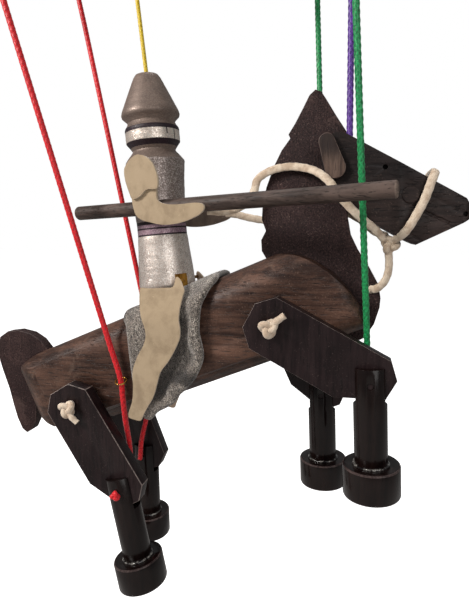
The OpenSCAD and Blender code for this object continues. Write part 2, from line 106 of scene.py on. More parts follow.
def add_camera():
    """A wide view from in front of the near side, a little above the horse's back."""
    azimuth, pitch = CAMERA_TURN
    forward = Vector((-sin(azimuth) * cos(pitch), cos(azimuth) * cos(pitch),
                      -sin(pitch)))
    right = Vector((cos(azimuth), sin(azimuth), 0))
    up = right.cross(forward)
    data = bpy.data.cameras.new("camera")
    data.sensor_fit = "VERTICAL"
    data.sensor_height, data.lens = CAMERA_FILM
    data.clip_start = 0.01
    camera = add_object("camera", data)
    turn = Matrix((right, up, -forward)).transposed().to_4x4()
    camera.matrix_world = Matrix.Translation(CAMERA_AT) @ turn
    bpy.context.scene.camera = camera


add_camera()


# Node materials

def put(tree, socket, value):
    """Links a socket's value, or sets a plain one."""
    if isinstance(value, bpy.types.NodeSocket):
        tree.links.new(value, socket)
    elif socket.type == "RGBA" and not hasattr(value, "__len__"):
        socket.default_value = (value, value, value, 1)
    else:
        socket.default_value = value


def plug(tree, node, **inputs):
    """Sets or links the inputs named."""
    for key, value in inputs.items():
        put(tree, node.inputs[key.replace("_", " ")], value)


def add(tree, kind, settings=(), **inputs):
    """A new shader node, with its settings and the inputs named."""
    made = tree.nodes.new("ShaderNode" + kind)
    for key, value in dict(settings).items():
        setattr(made, key, value)
    plug(tree, made, **inputs)
    return made


def maths(tree, operation, a, b):
    made = add(tree, "Math", {"operation": operation})
    put(tree, made.inputs[0], a)
    put(tree, made.inputs[1], b)
    return made.outputs[0]


def mix(tree, share, a, b, blend="MIX"):
    """Colour a, with a share of colour b."""
    made = add(tree, "Mix", {"data_type": "RGBA", "blend_type": blend})
    for index, value in ((0, share), (6, a), (7, b)):
        put(tree, made.inputs[index], value)
    return made.outputs[2]


def span(tree, value, low, high, to_low=0.0, to_high=1.0, smooth=True):
    """value from low..high to to_low..to_high, held at the ends."""
    made = add(tree, "MapRange", {"interpolation_type": "SMOOTHSTEP" if smooth else "LINEAR"})
    for index, number in enumerate((value, low, high, to_low, to_high)):
        put(tree, made.inputs[index], number)
    return made.outputs[0]


def place(tree, scale=(1, 1, 1), turn=(0, 0, 0)):
    """Coordinates of the piece in its own frame, turned by degrees and scaled."""
    turn = tuple(radians(a) for a in turn)
    coordinates = add(tree, "TexCoord").outputs["Object"]
    return add(tree, "Mapping", Vector=coordinates, Scale=scale, Rotation=turn).outputs[0]


def speckle(tree, where, scale, detail=4.0, rough=0.6, distortion=0.0):
    """Noise from about 0 to 1."""
    return add(tree, "TexNoise", Vector=where, Scale=scale, Detail=detail, Roughness=rough,
               Distortion=distortion).outputs["Fac"]


def times(tree, a, b):
    return maths(tree, "MULTIPLY", a, b)


def plus(tree, a, b):
    return maths(tree, "ADD", a, b)


def bumps(tree, height, strength, distance):
    return add(tree, "Bump", Height=height, Strength=strength, Distance=distance).outputs[0]


def dimmed(colour, share):
    return tuple(c * share for c in colour[:3]) + (1,)


def material(name, **sockets):
    """A new material and its node tree and shader; sockets are set on the shader."""
    made = bpy.data.materials.new(name)
    made.use_nodes = True
    tree = made.node_tree
    shader = tree.nodes["Principled BSDF"]
    plug(tree, shader, **sockets)
    return made, tree, shader


def wood(name, dark, light, grain="X", rough=(0.35, 0.6), pores=0.5, relief=0.25, turn=(0, 0, 0),
         grit=0.0, fleck=None, fleck_share=0.0, worn=0.0, specular=0.28, **sockets):
    """Stained wood: streaks along the grain, short pores, pooled stain, and grit if it is porous.
    Colours are on the screen's scale."""
    dark, light = srgb(*dark), srgb(*light)
    made, tree, shader = material(name, Specular_IOR_Level=specular, **sockets)
    where = place(tree, tuple((0.09 if axis == grain else 1.0) for axis in "XYZ"), turn)
    still = place(tree)
    streak = speckle(tree, where, 420, 5, 0.62, 0.4)
    broad = speckle(tree, where, 95, 3, 0.55, 0.8)
    cloud = speckle(tree, still, 38, 4, 0.6)
    grain_share = 0.55 * (1 - 0.6 * grit)
    tone = plus(tree, times(tree, streak, grain_share), times(tree, broad, grain_share))
    tone = plus(tree, tone, times(tree, cloud, 0.35 + 0.65 * grit * 0.55))
    colour = mix(tree, span(tree, tone, 0.54, 0.90), dark, light)
    hole = span(tree, speckle(tree, where, 1500, 2, 0.5), 0.58, 0.68)
    dim = dimmed(dark, 0.3)
    colour = mix(tree, times(tree, hole, pores), colour, dim)
    height = maths(tree, "SUBTRACT", times(tree, streak, 0.6), times(tree, hole, pores))
    if grit:
        grains = speckle(tree, still, 1150, 3, 0.7)
        colour = mix(tree, times(tree, span(tree, grains, 0.52, 0.64), grit), colour, dim)
        colour = mix(tree, times(tree, span(tree, grains, 0.34, 0.46, 1, 0), 0.5 * grit),
                     colour, light)
        height = maths(tree, "SUBTRACT", height, times(tree, grains, 1.5 * grit))
    if fleck:
        fleck = srgb(*fleck)
        dust = span(tree, speckle(tree, place(tree, turn=(31, 17, 8)), 1350, 2, 0.6), 0.63, 0.70)
        patch = span(tree, speckle(tree, still, 120, 3, 0.6), 0.35, 0.65)
        dust = times(tree, dust, times(tree, patch, fleck_share))
        colour = mix(tree, dust, colour, fleck)
        rubbed = span(tree, speckle(tree, still, 75, 5, 0.7, 0.6), 0.56, 0.72, 0, worn)
        colour = mix(tree, rubbed, colour, fleck)
    plug(tree, shader, Base_Color=colour, Roughness=span(tree, tone, 0.45, 1.0, *rough),
         Normal=bumps(tree, height, relief, 0.0006))
    return made


# Mesh helpers

def new_piece(name, vertices, faces, finish, body=None, smooth=True):
    """A mesh object with one finish or several, riding on a body."""
    mesh = bpy.data.meshes.new(name)
    mesh.from_pydata([tuple(v) for v in vertices], [], [tuple(f) for f in faces])
    mesh.validate()
    mesh.update()
    if smooth:
        mesh.shade_smooth()
    for one in finish if isinstance(finish, (list, tuple)) else [finish]:
        mesh.materials.append(one)
    made = add_object(name, mesh)
    if body:
        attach(made, body)
    return made


def stand_in(made, node, body):
    """Lets a piece ride on a body in place of a CAD node."""
    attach(made, body)
    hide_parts(node)


def recalculate(made, smooth=True):
    """Turns a closed mesh's faces outward."""
    work = bmesh.new()
    work.from_mesh(made.data)
    bmesh.ops.recalc_face_normals(work, faces=work.faces)
    work.to_mesh(made.data)
    work.free()
    if smooth:
        made.data.shade_smooth()


def keep(made, name, values):
    """Stores one number for each point of a mesh, for its material to read."""
    data = made.data.attributes.new(name, "FLOAT", "POINT").data
    data.foreach_set("value", np.array(values, dtype=np.float32).ravel())


def distances(line):
    """Distance gone along a line at each of its points."""
    return np.concatenate([[0], np.cumsum(np.linalg.norm(np.diff(line, axis=0), axis=1))])


def spline(points, step):
    """Points a step apart along a smooth curve through the given ones, as an array."""
    p = np.array([tuple(q) for q in points], float)
    ends = np.vstack([2 * p[0] - p[1], p, 2 * p[-1] - p[-2]])
    line = []
    for i in range(len(p) - 1):
        a, b, c, d = ends[i:i + 4]
        t0, t1 = 0.0, max(np.linalg.norm(b - a), 1e-9) ** 0.5
        t2 = t1 + max(np.linalg.norm(c - b), 1e-9) ** 0.5
        t3 = t2 + max(np.linalg.norm(d - c), 1e-9) ** 0.5
        for t in np.linspace(t1, t2, 24, endpoint=False):
            ab = a * (t1 - t) / (t1 - t0) + b * (t - t0) / (t1 - t0)
            bc = b * (t2 - t) / (t2 - t1) + c * (t - t1) / (t2 - t1)
            cd = c * (t3 - t) / (t3 - t2) + d * (t - t2) / (t3 - t2)
            abc = ab * (t2 - t) / (t2 - t0) + bc * (t - t0) / (t2 - t0)
            bcd = bc * (t3 - t) / (t3 - t1) + cd * (t - t1) / (t3 - t1)
            line.append(abc * (t2 - t) / (t2 - t1) + bcd * (t - t1) / (t2 - t1))
    line = np.array(line + [p[-1]])
    gone = distances(line)
    wanted = np.linspace(0, gone[-1], max(2, round(gone[-1] / step) + 1))
    return np.stack([np.interp(wanted, gone, line[:, k]) for k in range(3)], 1)


def ways(line):
    """The direction of a line at each of its points."""
    way = np.gradient(line, axis=0)
    return way / np.linalg.norm(way, axis=1)[:, None]


def sides(line, start):
    """At each point of a line, two directions across it, carried along without twist."""
    way = ways(line)
    first = np.cross(way[0], np.array(start, float))
    if np.linalg.norm(first) < 1e-6:
        first = np.cross(way[0], (1, 0, 0))
    across = [first / np.linalg.norm(first)]
    for direction in way[1:]:
        kept = across[-1] - direction * across[-1].dot(direction)
        across.append(kept / np.linalg.norm(kept))
    across = np.array(across)
    return across, np.cross(way, across)


def tube_faces(rings, around, first=0):
    faces = [(first + i * around + j, first + i * around + (j + 1) % around,
              first + (i + 1) * around + (j + 1) % around, first + (i + 1) * around + j)
             for i in range(rings - 1) for j in range(around)]
    faces.append([first + j for j in reversed(range(around))])
    faces.append([first + (rings - 1) * around + j for j in range(around)])
    return faces


def sweep(line, radius, around, twist=0.0, start=(0, 1, 0), flat=1.0, broad=None, facing=None):
    """Vertices of a tube along a line. radius(angles, gone) gives its size at each point. A
    flat lace is held broad one way, or facing one way, all along."""
    u, v = sides(line, start)
    if broad or facing:
        kept = np.array(broad or facing, float)
        way = ways(line)
        u = kept - way * (way @ kept)[:, None]
        u /= np.linalg.norm(u, axis=1)[:, None]
        v = np.cross(way, u)
        if facing:
            u, v = v, u
    gone = distances(line)
    angles = np.linspace(0, 2 * pi, around, endpoint=False)
    size = radius(angles[None, :], gone[:, None]) * np.ones((len(line), around))
    a, b = size * np.cos(angles), size * np.sin(angles) * flat
    spin = (twist * gone)[:, None]
    a, b = a * np.cos(spin) - b * np.sin(spin), a * np.sin(spin) + b * np.cos(spin)
    ring = line[:, None, :] + a[..., None] * u[:, None, :] + b[..., None] * v[:, None, :]
    return ring.reshape(-1, 3)


STRANDS = 4
# Length of a plait's full turn, in diameters
PLAIT_PITCH = 4.2
# Distance between a cord's rings, and points in each
CORD_STEP, CORD_AROUND = 0.0005, 20


def braid(diameter):
    """Size of a plaited cord: strands pass over and under in both directions."""
    def size(angles, gone):
        turn = angles * STRANDS / (2 * pi)
        run = gone * STRANDS / (diameter * PLAIT_PITCH)
        a, b = turn + run, turn - run
        over = (np.floor(a) + np.floor(b)) % 2
        fa, fb = a - np.floor(a) - 0.5, b - np.floor(b) - 0.5
        across = np.where(over == 0, fa, fb)
        along = np.where(over == 0, fb, fa)
        lump = np.sqrt(np.clip(1 - (1.9 * across) ** 2, 0, 1)) * np.cos(along * 2.4)
        return diameter / 2 * (0.86 + 0.19 * lump)
    return size


def plain(diameter, uneven=0.05, seed=0.0):
    """Size of a soft lace, a little uneven."""
    def size(angles, gone):
        return diameter / 2 * (1 + uneven * np.sin(gone * 1310 + seed)
                               + 0.6 * uneven * np.sin(3 * angles + gone * 2270 + 2 * seed))
    return size


def tube(name, line, size, around, finish, body=None, slot=None, **held):
    """A closed tube along a line."""
    return new_piece(name, sweep(line, size, around, **held), tube_faces(len(line), around), finish,
                     body)


def cord_piece(name, points, diameter, finish):
    """A plaited cord along a smooth curve through its points, and its line in metres."""
    line = spline(points, CORD_STEP)
    made = tube(name, line, braid(diameter), CORD_AROUND, finish)
    rings = np.array([v.co for v in made.data.vertices]).reshape(len(line), CORD_AROUND, 3)
    out = np.linalg.norm(rings - line[:, None, :], axis=2)
    # How far out each point stands, 0 to 1; the material paints shade where it is low, between the
    # strands.
    keep(made, "strand", out / out.max())
    return made, line


def declare_cord(made, line, diameter):
    float(distances(line)[-1])


# Cord and lace materials

def cord_finish(name, deep, bright):
    """Shiny plaited nylon: each strand has fine fibres and light and deep parts; painted shade darkens
    the crevices between strands.
    """
    deep, bright = srgb(*deep), srgb(*bright)
    made, tree, shader = material(name, Roughness=0.42, Sheen_Weight=0.25, Sheen_Roughness=0.4,
                                  Specular_IOR_Level=0.45)
    still = place(tree)
    fibre = speckle(tree, place(tree, (1, 1, 0.3), (14, 0, 0)), 3200, 3, 0.6)
    patch = speckle(tree, still, 900, 3, 0.6)
    tone = plus(tree, times(tree, fibre, 0.5), times(tree, patch, 0.5))
    strand = add(tree, "Attribute", {"attribute_name": "strand"}).outputs["Fac"]
    shadow = dimmed(deep, 0.3)
    colour = mix(tree, span(tree, tone, 0.36, 0.66), deep, bright)
    # Painted shade: where the cord is thinnest, between its strands, the colour goes towards a shadow
    # tone.
    colour = mix(tree, span(tree, strand, 0.8, 0.94, 1, 0), colour, shadow)
    plug(tree, shader, Base_Color=colour, Normal=bumps(tree, fibre, 0.35, 0.0003))
    return made


cord_red = cord_finish("plait_red", (186, 10, 24), (252, 34, 46))
cord_green = cord_finish("plait_green", (6, 102, 56), (34, 178, 100))
cord_purple = cord_finish("plait_purple", (58, 22, 112), (112, 58, 176))
cord_yellow = cord_finish("plait_yellow", (206, 168, 14), (250, 224, 64))


def lace_finish():
    """Undyed soft leather lace: creamy, with a felty nap and grey handling marks."""
    made, tree, shader = material("lace", Roughness=0.88, Sheen_Weight=0.4,
                                  Sheen_Roughness=0.5, Specular_IOR_Level=0.25)
    still = place(tree)
    nap = speckle(tree, still, 2600, 4, 0.65)
    mark = speckle(tree, still, 210, 4, 0.6)
    colour = mix(tree, span(tree, mark, 0.40, 0.66), srgb(232, 214, 192), srgb(198, 174, 150))
    colour = mix(tree, span(tree, nap, 0.50, 0.72, 0, 0.35), colour, srgb(150, 128, 106))
    plug(tree, shader, Base_Color=colour, Normal=bumps(tree, nap, 0.5, 0.0005))
    return made


lace = lace_finish()

# Cords

CORD, THIN_CORD = 3.2 * MM, 2.3 * MM
# Each crossbar's place along the control, its length and its turn in degrees
FRONT_BAR = (73, 104, 13)
REAR_BAR = (-95, 94, -4.5)


def bar_end(bar, side, height=8.0):
    """Top of the cord hole at one end of a crossbar, in metres."""
    x, long, turn = bar
    reach = side * (long / 2 - 7)
    turn = radians(turn)
    return Vector((x - reach * sin(turn), reach * cos(turn), height)) * MM


def from_top(top, drop, steps, points):
    """Route of a cord: straight down from its knot, then in a straight run to the points."""
    down = top - Vector((0, 0, drop * MM))
    low = [at(*p) for p in points]
    run = [down.lerp(low[0], i / steps) for i in range(1, steps)]
    return [top, top.lerp(down, 0.5), down] + run + low


# Each string's knot, its straight drop in millimetres, thickness, finish, the body at its lower
# end, and the hip points it runs to
STRINGS = {
    "front_right_string": (bar_end(FRONT_BAR, NEAR), 9, CORD, cord_green, "front_right_upper",
                           [(48.4, -16.9, -14), (49.5, -16.9, -25.6)]),
    "front_left_string": (bar_end(FRONT_BAR, FAR), 9, CORD, cord_green, "front_left_upper",
                          [(23.4, 24.4, 20), (22.9, 23.6, 3), (22.6, 21.6, -8),
                           (22.7, 18.6, -25), (23, 17.2, -37), (23.1, 17, -43.6)]),
    "rear_right_string": (bar_end(REAR_BAR, NEAR), 9, CORD, cord_red, "rear_right_upper",
                          [(-86, -24.7, -36.4), (-85.7, -23.8, -46), (-86, -20.6, -62),
                           (-85.6, -17.6, -78), (-85.6, -16.9, -88), (-86, -16.9, -99.6)]),
    "rear_left_string": (bar_end(REAR_BAR, FAR), 9, CORD, cord_red, "rear_left_upper",
                         [(-86, 24.7, -36.4), (-87.5, 23, -52), (-91, 19.4, -74),
                          (-94.4, 16.9, -92), (-95.6, 16.9, -104.4)]),
    "head_string": (Vector((84, -4, 0)) * MM, 11, CORD, cord_purple, "head",
                    [(36, -8.4, 91)]),
    "rider_string": (Vector((-33.4, 0, 0)) * MM, 11, THIN_CORD, cord_yellow, "rider",
                     [(-76.5, 0, 132.5)]),
}


def add_strings():
    for name, (top, drop, thick, finish, body, points) in STRINGS.items():
        route = from_top(top, drop, 10, points)
        made, line = cord_piece(name + "_cord", route, thick, finish)
        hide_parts(name)
        end = Vector(line[-1])
        bend_from = at(*points[0]) if name.startswith("rear") else top.lerp(end, 0.12)
        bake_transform(made)
        declare_cord(made, line, thick)


add_strings()


# Routes of the laces, as hip points
LACES = {
    "right_rein": [
        (-36, -18, 58.5), (-28, -16.5, 58), (-20, -14, 60), (-15, -11, 64), (-12.5, -9, 69.5),
        (-11, -8, 75), (-4, -7.4, 79.5), (6, -7.2, 81.2), (16, -9.5, 79.5), (22, -14, 76.4),
        (27, -17, 72), (33, -17.2, 64), (42, -16, 55), (50, -11, 48.5), (54.4, -6.6, 44)],
    "left_rein": [
        (-33, 8.8, 58), (-27, 8.6, 57.4), (-19, 8.2, 55.5), (-8, 7.8, 54), (8, 6.9, 56),
        (22, 9, 59), (34, 14.6, 58.5), (43, 14.4, 54), (50, 9, 48), (56, -1, 45)],
    "noseband": [
        (59.5, -7, 43.4), (62.5, -11.6, 45.6), (65, -13.9, 48.8), (69, -13.6, 56),
        (72.5, -12.9, 63.6), (75, -12.5, 71.5), (76.4, -11.5, 75.2), (77, -8.6, 76.6),
        (77, 0, 76.8), (77, 8.6, 76.6), (76.4, 11.5, 75.2), (75, 12.5, 71.5), (72.5, 12.9, 63.6),
        (69, 13.6, 56), (65, 13.9, 47.6), (61.5, 9.6, 43), (58.6, 1, 41)],
    "chest_lace": [
        (57, -4.4, 38.4), (57.6, -5, 33), (57.4, -6.2, 27), (55.6, -7, 22), (52.4, -6.9, 18.6),
        (49.6, -6.2, 17.6), (49, -3, 17.5), (49, 2, 17.5), (49, 7.4, 17.5)],
    "seat_lace": [
        (-59.8, 0, -10.2), (-63, 0, -2.6), (-66, 0, 4.6), (-67.5, 0, 8.4), (-67.4, 0, 13),
        (-66.8, 0, 18), (-67, 0, 22), (-67.4, 0, 27)],
}
LACE_WIDE, LACE_THICK = 4.3 * MM, 2.5 * MM
SEAT_LACE_THICK = 2.6 * MM
LACE_STEP = 0.0006
# Along the horse's nose, which the noseband's flat side follows
NOSE_WAY = (0.875, 0.0, -0.485)


def add_lace(name, bodies, thick, around, uneven=0.03, seed=0.0, **shape):
    """A soft lace along its route; with one body it rides on that body, and with two it stays fixed in
    the row frame.
    """
    line = spline([at(*p) for p in LACES[name]], LACE_STEP)
    made = tube(name + "_lace", line, plain(thick, uneven, seed), around, lace, **shape)
    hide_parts(name)
    if len(bodies) == 1:
        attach(made, *bodies)
    else:
        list(bodies)
        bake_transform(made)
    declare_cord(made, line, thick)


for lace_name, lace_bodies, lace_seed, lace_shape in (
        ("right_rein", ("root", "head"), 0.4, {"facing": (0.15, -1, 0.25)}),
        ("left_rein", ("root", "head"), 1.7, {"twist": 6.0, "facing": (0, 1, 0.4)}),
        ("noseband", ("head",), 2.9, {"broad": NOSE_WAY}),
        ("chest_lace", ("head", "root"), 4.2, {"facing": (0.5, -1, 0)})):
    add_lace(lace_name, lace_bodies, LACE_WIDE, 16, seed=lace_seed, flat=LACE_THICK / LACE_WIDE,
             **lace_shape)
add_lace("seat_lace", ("root", "rider"), SEAT_LACE_THICK, 14, uneven=0.05)


# CAD parts with a finish

def cad_copy(node, name):
    """A copy of a CAD node's mesh in a new object, with its triangles joined into faces."""
    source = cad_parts[node]
    work = bmesh.new()
    work.from_mesh(source.data)
    work.transform(source.matrix_world)
    bmesh.ops.remove_doubles(work, verts=work.verts, dist=2e-6)
    bmesh.ops.dissolve_limit(work, angle_limit=radians(0.6), verts=work.verts,
                             edges=work.edges)
    for face in work.faces:
        face.smooth = True
    mesh = bpy.data.meshes.new(name)
    work.to_mesh(mesh)
    work.free()
    made = add_object(name, mesh)
    return made


def apply_modifiers(made):
    """Leaves a mesh as its modifiers make it."""
    shown = made.evaluated_get(bpy.context.evaluated_depsgraph_get())
    mesh = bpy.data.meshes.new_from_object(shown)
    made.modifiers.clear()
    made.data = mesh


def soften(made, width, segments, edge_finish):
    """Breaks the sharp edges of a mesh; the new faces may take the second finish."""
    bevel = made.modifiers.new("bevel", "BEVEL")
    bevel.width = width
    bevel.segments = segments
    bevel.limit_method = "ANGLE"
    bevel.angle_limit = radians(32)
    if edge_finish:
        bevel.material = 1
    apply_modifiers(made)
    made.data.shade_smooth()
    made.data.set_sharp_from_angle(angle=radians(28))


def carve(made, cutters, finishes="INDEX"):
    """Cuts shapes out of a piece. With TRANSFER, the cut faces keep the cutter's finish."""
    for cutter in cutters:
        cut = made.modifiers.new("cut", "BOOLEAN")
        cut.operation = "DIFFERENCE"
        cut.solver = "EXACT"
        cut.material_mode = finishes
        cut.object = cutter
        apply_modifiers(made)
        bpy.data.objects.remove(cutter)


def dress(node, body, finish, bevel, edge=None, segments=2, cutters=()):
    """Stands a finished copy in for a CAD node: same shape, with broken edges."""
    made = cad_copy(node, node + "_finish")
    made.data.materials.append(finish)
    made.data.materials.append(edge or finish)
    carve(made, cutters)
    soften(made, bevel * MM, segments, edge is not None)
    stand_in(made, node, body)


# Wooden parts

trunk_wood = wood("trunk_wood", (44, 28, 23), (108, 78, 64), "X", (0.34, 0.56),
                  pores=0.7, relief=0.5, turn=(0, 23, 0), grit=0.25, fleck=(150, 124, 108),
                  fleck_share=0.5, worn=0.22)
trunk_edge = wood("trunk_edge", (78, 54, 44), (150, 122, 106), "X", (0.45, 0.6),
                  turn=(0, 23, 0))
board_wood = wood("board_wood", (46, 31, 31), (90, 68, 65), "Z", (0.5, 0.75),
                  pores=0.4, relief=0.6, turn=(0, -12, 0), grit=1.0, fleck=(136, 112, 104),
                  fleck_share=0.7, worn=0.2, specular=0.18)
board_edge = wood("board_edge", (44, 30, 30), (96, 76, 72), "Z", (0.5, 0.7), grit=0.5)
head_wood = wood("head_wood", (21, 15, 15), (56, 44, 41), "X", (0.36, 0.6),
                 pores=0.9, relief=0.5, turn=(0, -29, 0), fleck=(120, 100, 90),
                 fleck_share=0.6, worn=0.35, specular=0.24)
head_edge = wood("head_edge", (30, 21, 21), (74, 58, 54), "X", (0.4, 0.6))
ear_wood = wood("ear_wood", (50, 36, 32), (122, 100, 88), "Z", (0.4, 0.6),
                turn=(0, 14, 0), fleck=(128, 112, 96), fleck_share=0.5, worn=0.5)
ear_edge = wood("ear_edge", (58, 43, 40), (122, 102, 94), "Z", (0.4, 0.6))
thigh_wood = wood("thigh_wood", (22, 13, 15), (42, 30, 31), "Z", (0.3, 0.48),
                  pores=0.6, relief=0.3, fleck=(110, 96, 92), fleck_share=0.3, specular=0.24)
thigh_edge = wood("thigh_edge", (62, 50, 48), (158, 144, 138), "Z", (0.35, 0.5))
gloss_wood = wood("gloss_wood", (10, 4, 4), (28, 17, 15), "Z", (0.16, 0.3),
                  pores=0.5, relief=0.16, specular=0.2, Coat_Weight=0.25, Coat_Roughness=0.1)
gloss_edge = wood("gloss_edge", (36, 28, 28), (84, 70, 68), "Z", (0.2, 0.35))
lance_wood = wood("lance_wood", (46, 36, 32), (100, 84, 77), "X", (0.42, 0.65),
                  pores=0.7, relief=0.4, turn=(0, 0, 11))
lance_edge = wood("lance_edge", (62, 51, 46), (124, 108, 98), "X", (0.5, 0.7))
control_wood = wood("control_wood", (176, 132, 84), (222, 184, 134), "X",
                    (0.38, 0.55), pores=0.35, relief=0.2, specular=0.4)
crossbar_wood = wood("crossbar_wood", (172, 128, 80), (220, 182, 132), "Y",
                     (0.38, 0.55), pores=0.35, relief=0.2, specular=0.4)


def brass_finish():
    made, tree, shader = material("brass", Metallic=1.0)
    mark = speckle(tree, place(tree), 900, 4, 0.6)
    colour = mix(tree, span(tree, mark, 0.35, 0.7), srgb(214, 168, 84), srgb(150, 108, 52))
    plug(tree, shader, Base_Color=colour, Roughness=span(tree, mark, 0.3, 0.7, 0.22, 0.45),
         Normal=bumps(tree, mark, 0.15, 0.0002))
    return made


def darken_above(made, low, high, colour, share):
    """Colour darker towards the top of a piece, between two heights."""
    tree = made.node_tree
    base = tree.nodes["Principled BSDF"].inputs["Base Color"]
    height = add(tree, "SeparateXYZ", Vector=place(tree)).outputs["Z"]
    put(tree, base, mix(tree, span(tree, height, low, high, 0, share), base.links[0].from_socket,
                        colour))


def score_lines():
    """Round cutters for the lines scored in both cheeks: the mouth, and the chin's joint."""
    cutters = []
    for points, wide in ((MOUTH, 1.8 * MM), (CHIN, 1.3 * MM)):
        for side in (NEAR, FAR):
            line = spline([at(x, side * (11.75 - (x - 60) * 3 / 32), z) for x, z in points], 0.001)
            cutters.append(new_piece("scorer", sweep(line, plain(wide, 0.1), 10),
                                     tube_faces(len(line), 10), head_wood, smooth=False))
            recalculate(cutters[-1], smooth=False)
    return cutters


# Side views of the two scored lines, as hip points
MOUTH = [(67.3, 61.0), (74.0, 56.8), (80.7, 53.7), (85.0, 51.7)]
CHIN = [(64.1, 47.9), (68.0, 45.6), (72.9, 42.7)]
darken_above(ear_wood, -0.125, -0.115, srgb(32, 24, 24), 0.88)
darken_above(head_wood, -0.148, -0.122, srgb(20, 16, 18), 0.55)
brass = brass_finish()
LEGS = ("front_right", "front_left", "rear_right", "rear_left")

dress("trunk", "root", trunk_wood, 0.5, trunk_edge)
dress("neck_board", "root", board_wood, 0.5, board_edge)
dress("tail_board", "root", board_wood, 0.5, board_edge)
dress("head", "head", head_wood, 0.5, head_edge, cutters=score_lines())
dress("head_pin", "head", head_wood, 0.25)
dress("jaw_dowel", "head", head_wood, 0.25)
for ear in ("right_ear", "left_ear"):
    dress(ear, "head", ear_wood, 0.3, ear_edge)
for leg in LEGS:
    dress(leg + "_thigh", leg + "_upper", thigh_wood, 0.35, thigh_edge)
    dress(leg + "_shank", leg + "_lower", gloss_wood, 0.4, gloss_edge)
    dress(leg + "_hoof", leg + "_lower", gloss_wood, 0.8, gloss_edge)
dress("lance", "lance_arms", lance_wood, 1.2, lance_edge, 4)
dress("control_bar", "root", control_wood, 0.9)
dress("front_crossbar", "root", crossbar_wood, 0.9)
dress("rear_crossbar", "root", crossbar_wood, 0.9)
dress("crossbar_screws", "root", brass, 0.3)


# Rider

# The rider's lean backwards, and the hip point under the middle of its base
LEAN = radians(5)
SEAT = (-66.29, 15.11)


def rider_at(x, y, h):
    """A point of the leaning rider in the row frame: x forward of its axis, h above its base."""
    x, h = rotated(x, h, LEAN)
    return at(SEAT[0] + x, y, SEAT[1] + h)


def paint(name, base, dark, spark, share, rough, metallic, grain=2400):
    """Metallic craft paint: mottled flakes that catch the light, over a thin dark ground."""
    base, dark, spark = srgb(*base), srgb(*dark), srgb(*spark)
    made, tree, shader = material(name, Metallic=metallic)
    still = place(tree)
    flake = add(tree, "TexVoronoi", Vector=still, Scale=grain).outputs["Color"]
    flake = add(tree, "SeparateColor", Color=flake)
    bright, dull = flake.outputs[0], flake.outputs[1]
    cloud = speckle(tree, still, 130, 4, 0.6)
    colour = mix(tree, span(tree, cloud, 0.35, 0.65, 0, 0.6), base, dark)
    colour = mix(tree, times(tree, span(tree, dull, 0.62, 0.95), 0.7 * share), colour,
                 dimmed(dark, 0.45))
    colour = mix(tree, times(tree, span(tree, bright, 0.62, 0.9), share), colour, spark)
    plug(tree, shader, Base_Color=colour, Normal=bumps(tree, bright, 0.22, 0.0003),
         Roughness=span(tree, bright, 0.2, 0.9, rough[1], rough[0]))
    return made


silver = paint("silver_body", (228, 215, 205), (182, 168, 159), (255, 250, 244), 0.8,
               (0.32, 0.46), 0.65, 2600)
chest_silver = paint("chest_silver", (146, 132, 126), (112, 99, 95), (226, 214, 208), 0.7,
                     (0.3, 0.48), 0.45, 2600)
taupe = paint("taupe_helmet", (134, 117, 107), (108, 93, 86), (176, 160, 148), 0.3,
              (0.38, 0.55), 0.4)
visor_silver = paint("visor_silver", (226, 212, 200), (186, 172, 162), (252, 246, 238),
                     0.5, (0.25, 0.45), 0.55, 1500)
waist_purple = paint("waist_purple", (176, 146, 158), (120, 88, 118), (226, 204, 212),
                     0.6, (0.3, 0.5), 0.5)
line_paint = paint("line_paint", (38, 20, 30), (18, 10, 16), (70, 48, 62), 0.3,
                   (0.4, 0.6), 0.1)
bare_wood = wood("bare_wood", (66, 38, 16), (196, 146, 62), "Z", (0.5, 0.7),
                 pores=0.5, relief=0.3)


# Radius and height of the turned body
RIDER_PROFILE = [
    (0, 0), (14.6, 0.4), (15.9, 0.9), (16.4, 1.6), (16.5, 2.4), (16.3, 5), (15.8, 12.4),
    (14.9, 22.4), (14.4, 29.4), (14.2, 30.4), (14.2, 38.4), (14.4, 39.4), (15, 52.4), (15.7, 62.4),
    (16.6, 70.4), (16.8, 71.7), (16.6, 72.4), (14.4, 75.2), (12.5, 77.4), (12.1, 78.4),
    (13.1, 79.9), (15.0, 82.4), (15.2, 82.7), (15.3, 83.3), (15.35, 88.3), (15.35, 89.7),
    (15.0, 90.7), (14.2, 91.8), (13.2, 93.8), (14.4, 95.3), (16.2, 97), (16.5, 98), (16.1, 99.6),
    (11.9, 109), (7.8, 117.9), (6.5, 119.7), (4, 120.4), (0, 120.4)]
# Painted bands: lower and upper height, and which of the rider's finishes
BANDS = [
    (30.4, 31.7, 2), (31.7, 33.6, 1), (33.6, 34.8, 2), (34.8, 36.6, 1), (36.6, 38.0, 2),
    (38.0, 38.6, 1), (38.6, 72.4, 6), (72.4, 79.9, 4), (79.9, 82.7, 2), (82.7, 88.3, 3),
    (88.3, 90.7, 2), (90.7, 121, 4)]
# Dark strokes on the visor: angle from the front, and the height that each starts above
VISOR_STROKES = {-36.2: 84.8, -16.2: 0, 16.2: 0, 36.2: 84.8}


def lathe(profile, step):
    """Rings of a turned shape about the rider's axis, with extra rings between its points."""
    rings = []
    for (r0, h0), (r1, h1) in zip(profile, profile[1:]):
        count = max(1, ceil(hypot(r1 - r0, h1 - h0) / step))
        rings += [(r0 + (r1 - r0) * i / count, h0 + (h1 - h0) * i / count) for i in range(count)]
    return rings + [profile[-1]]


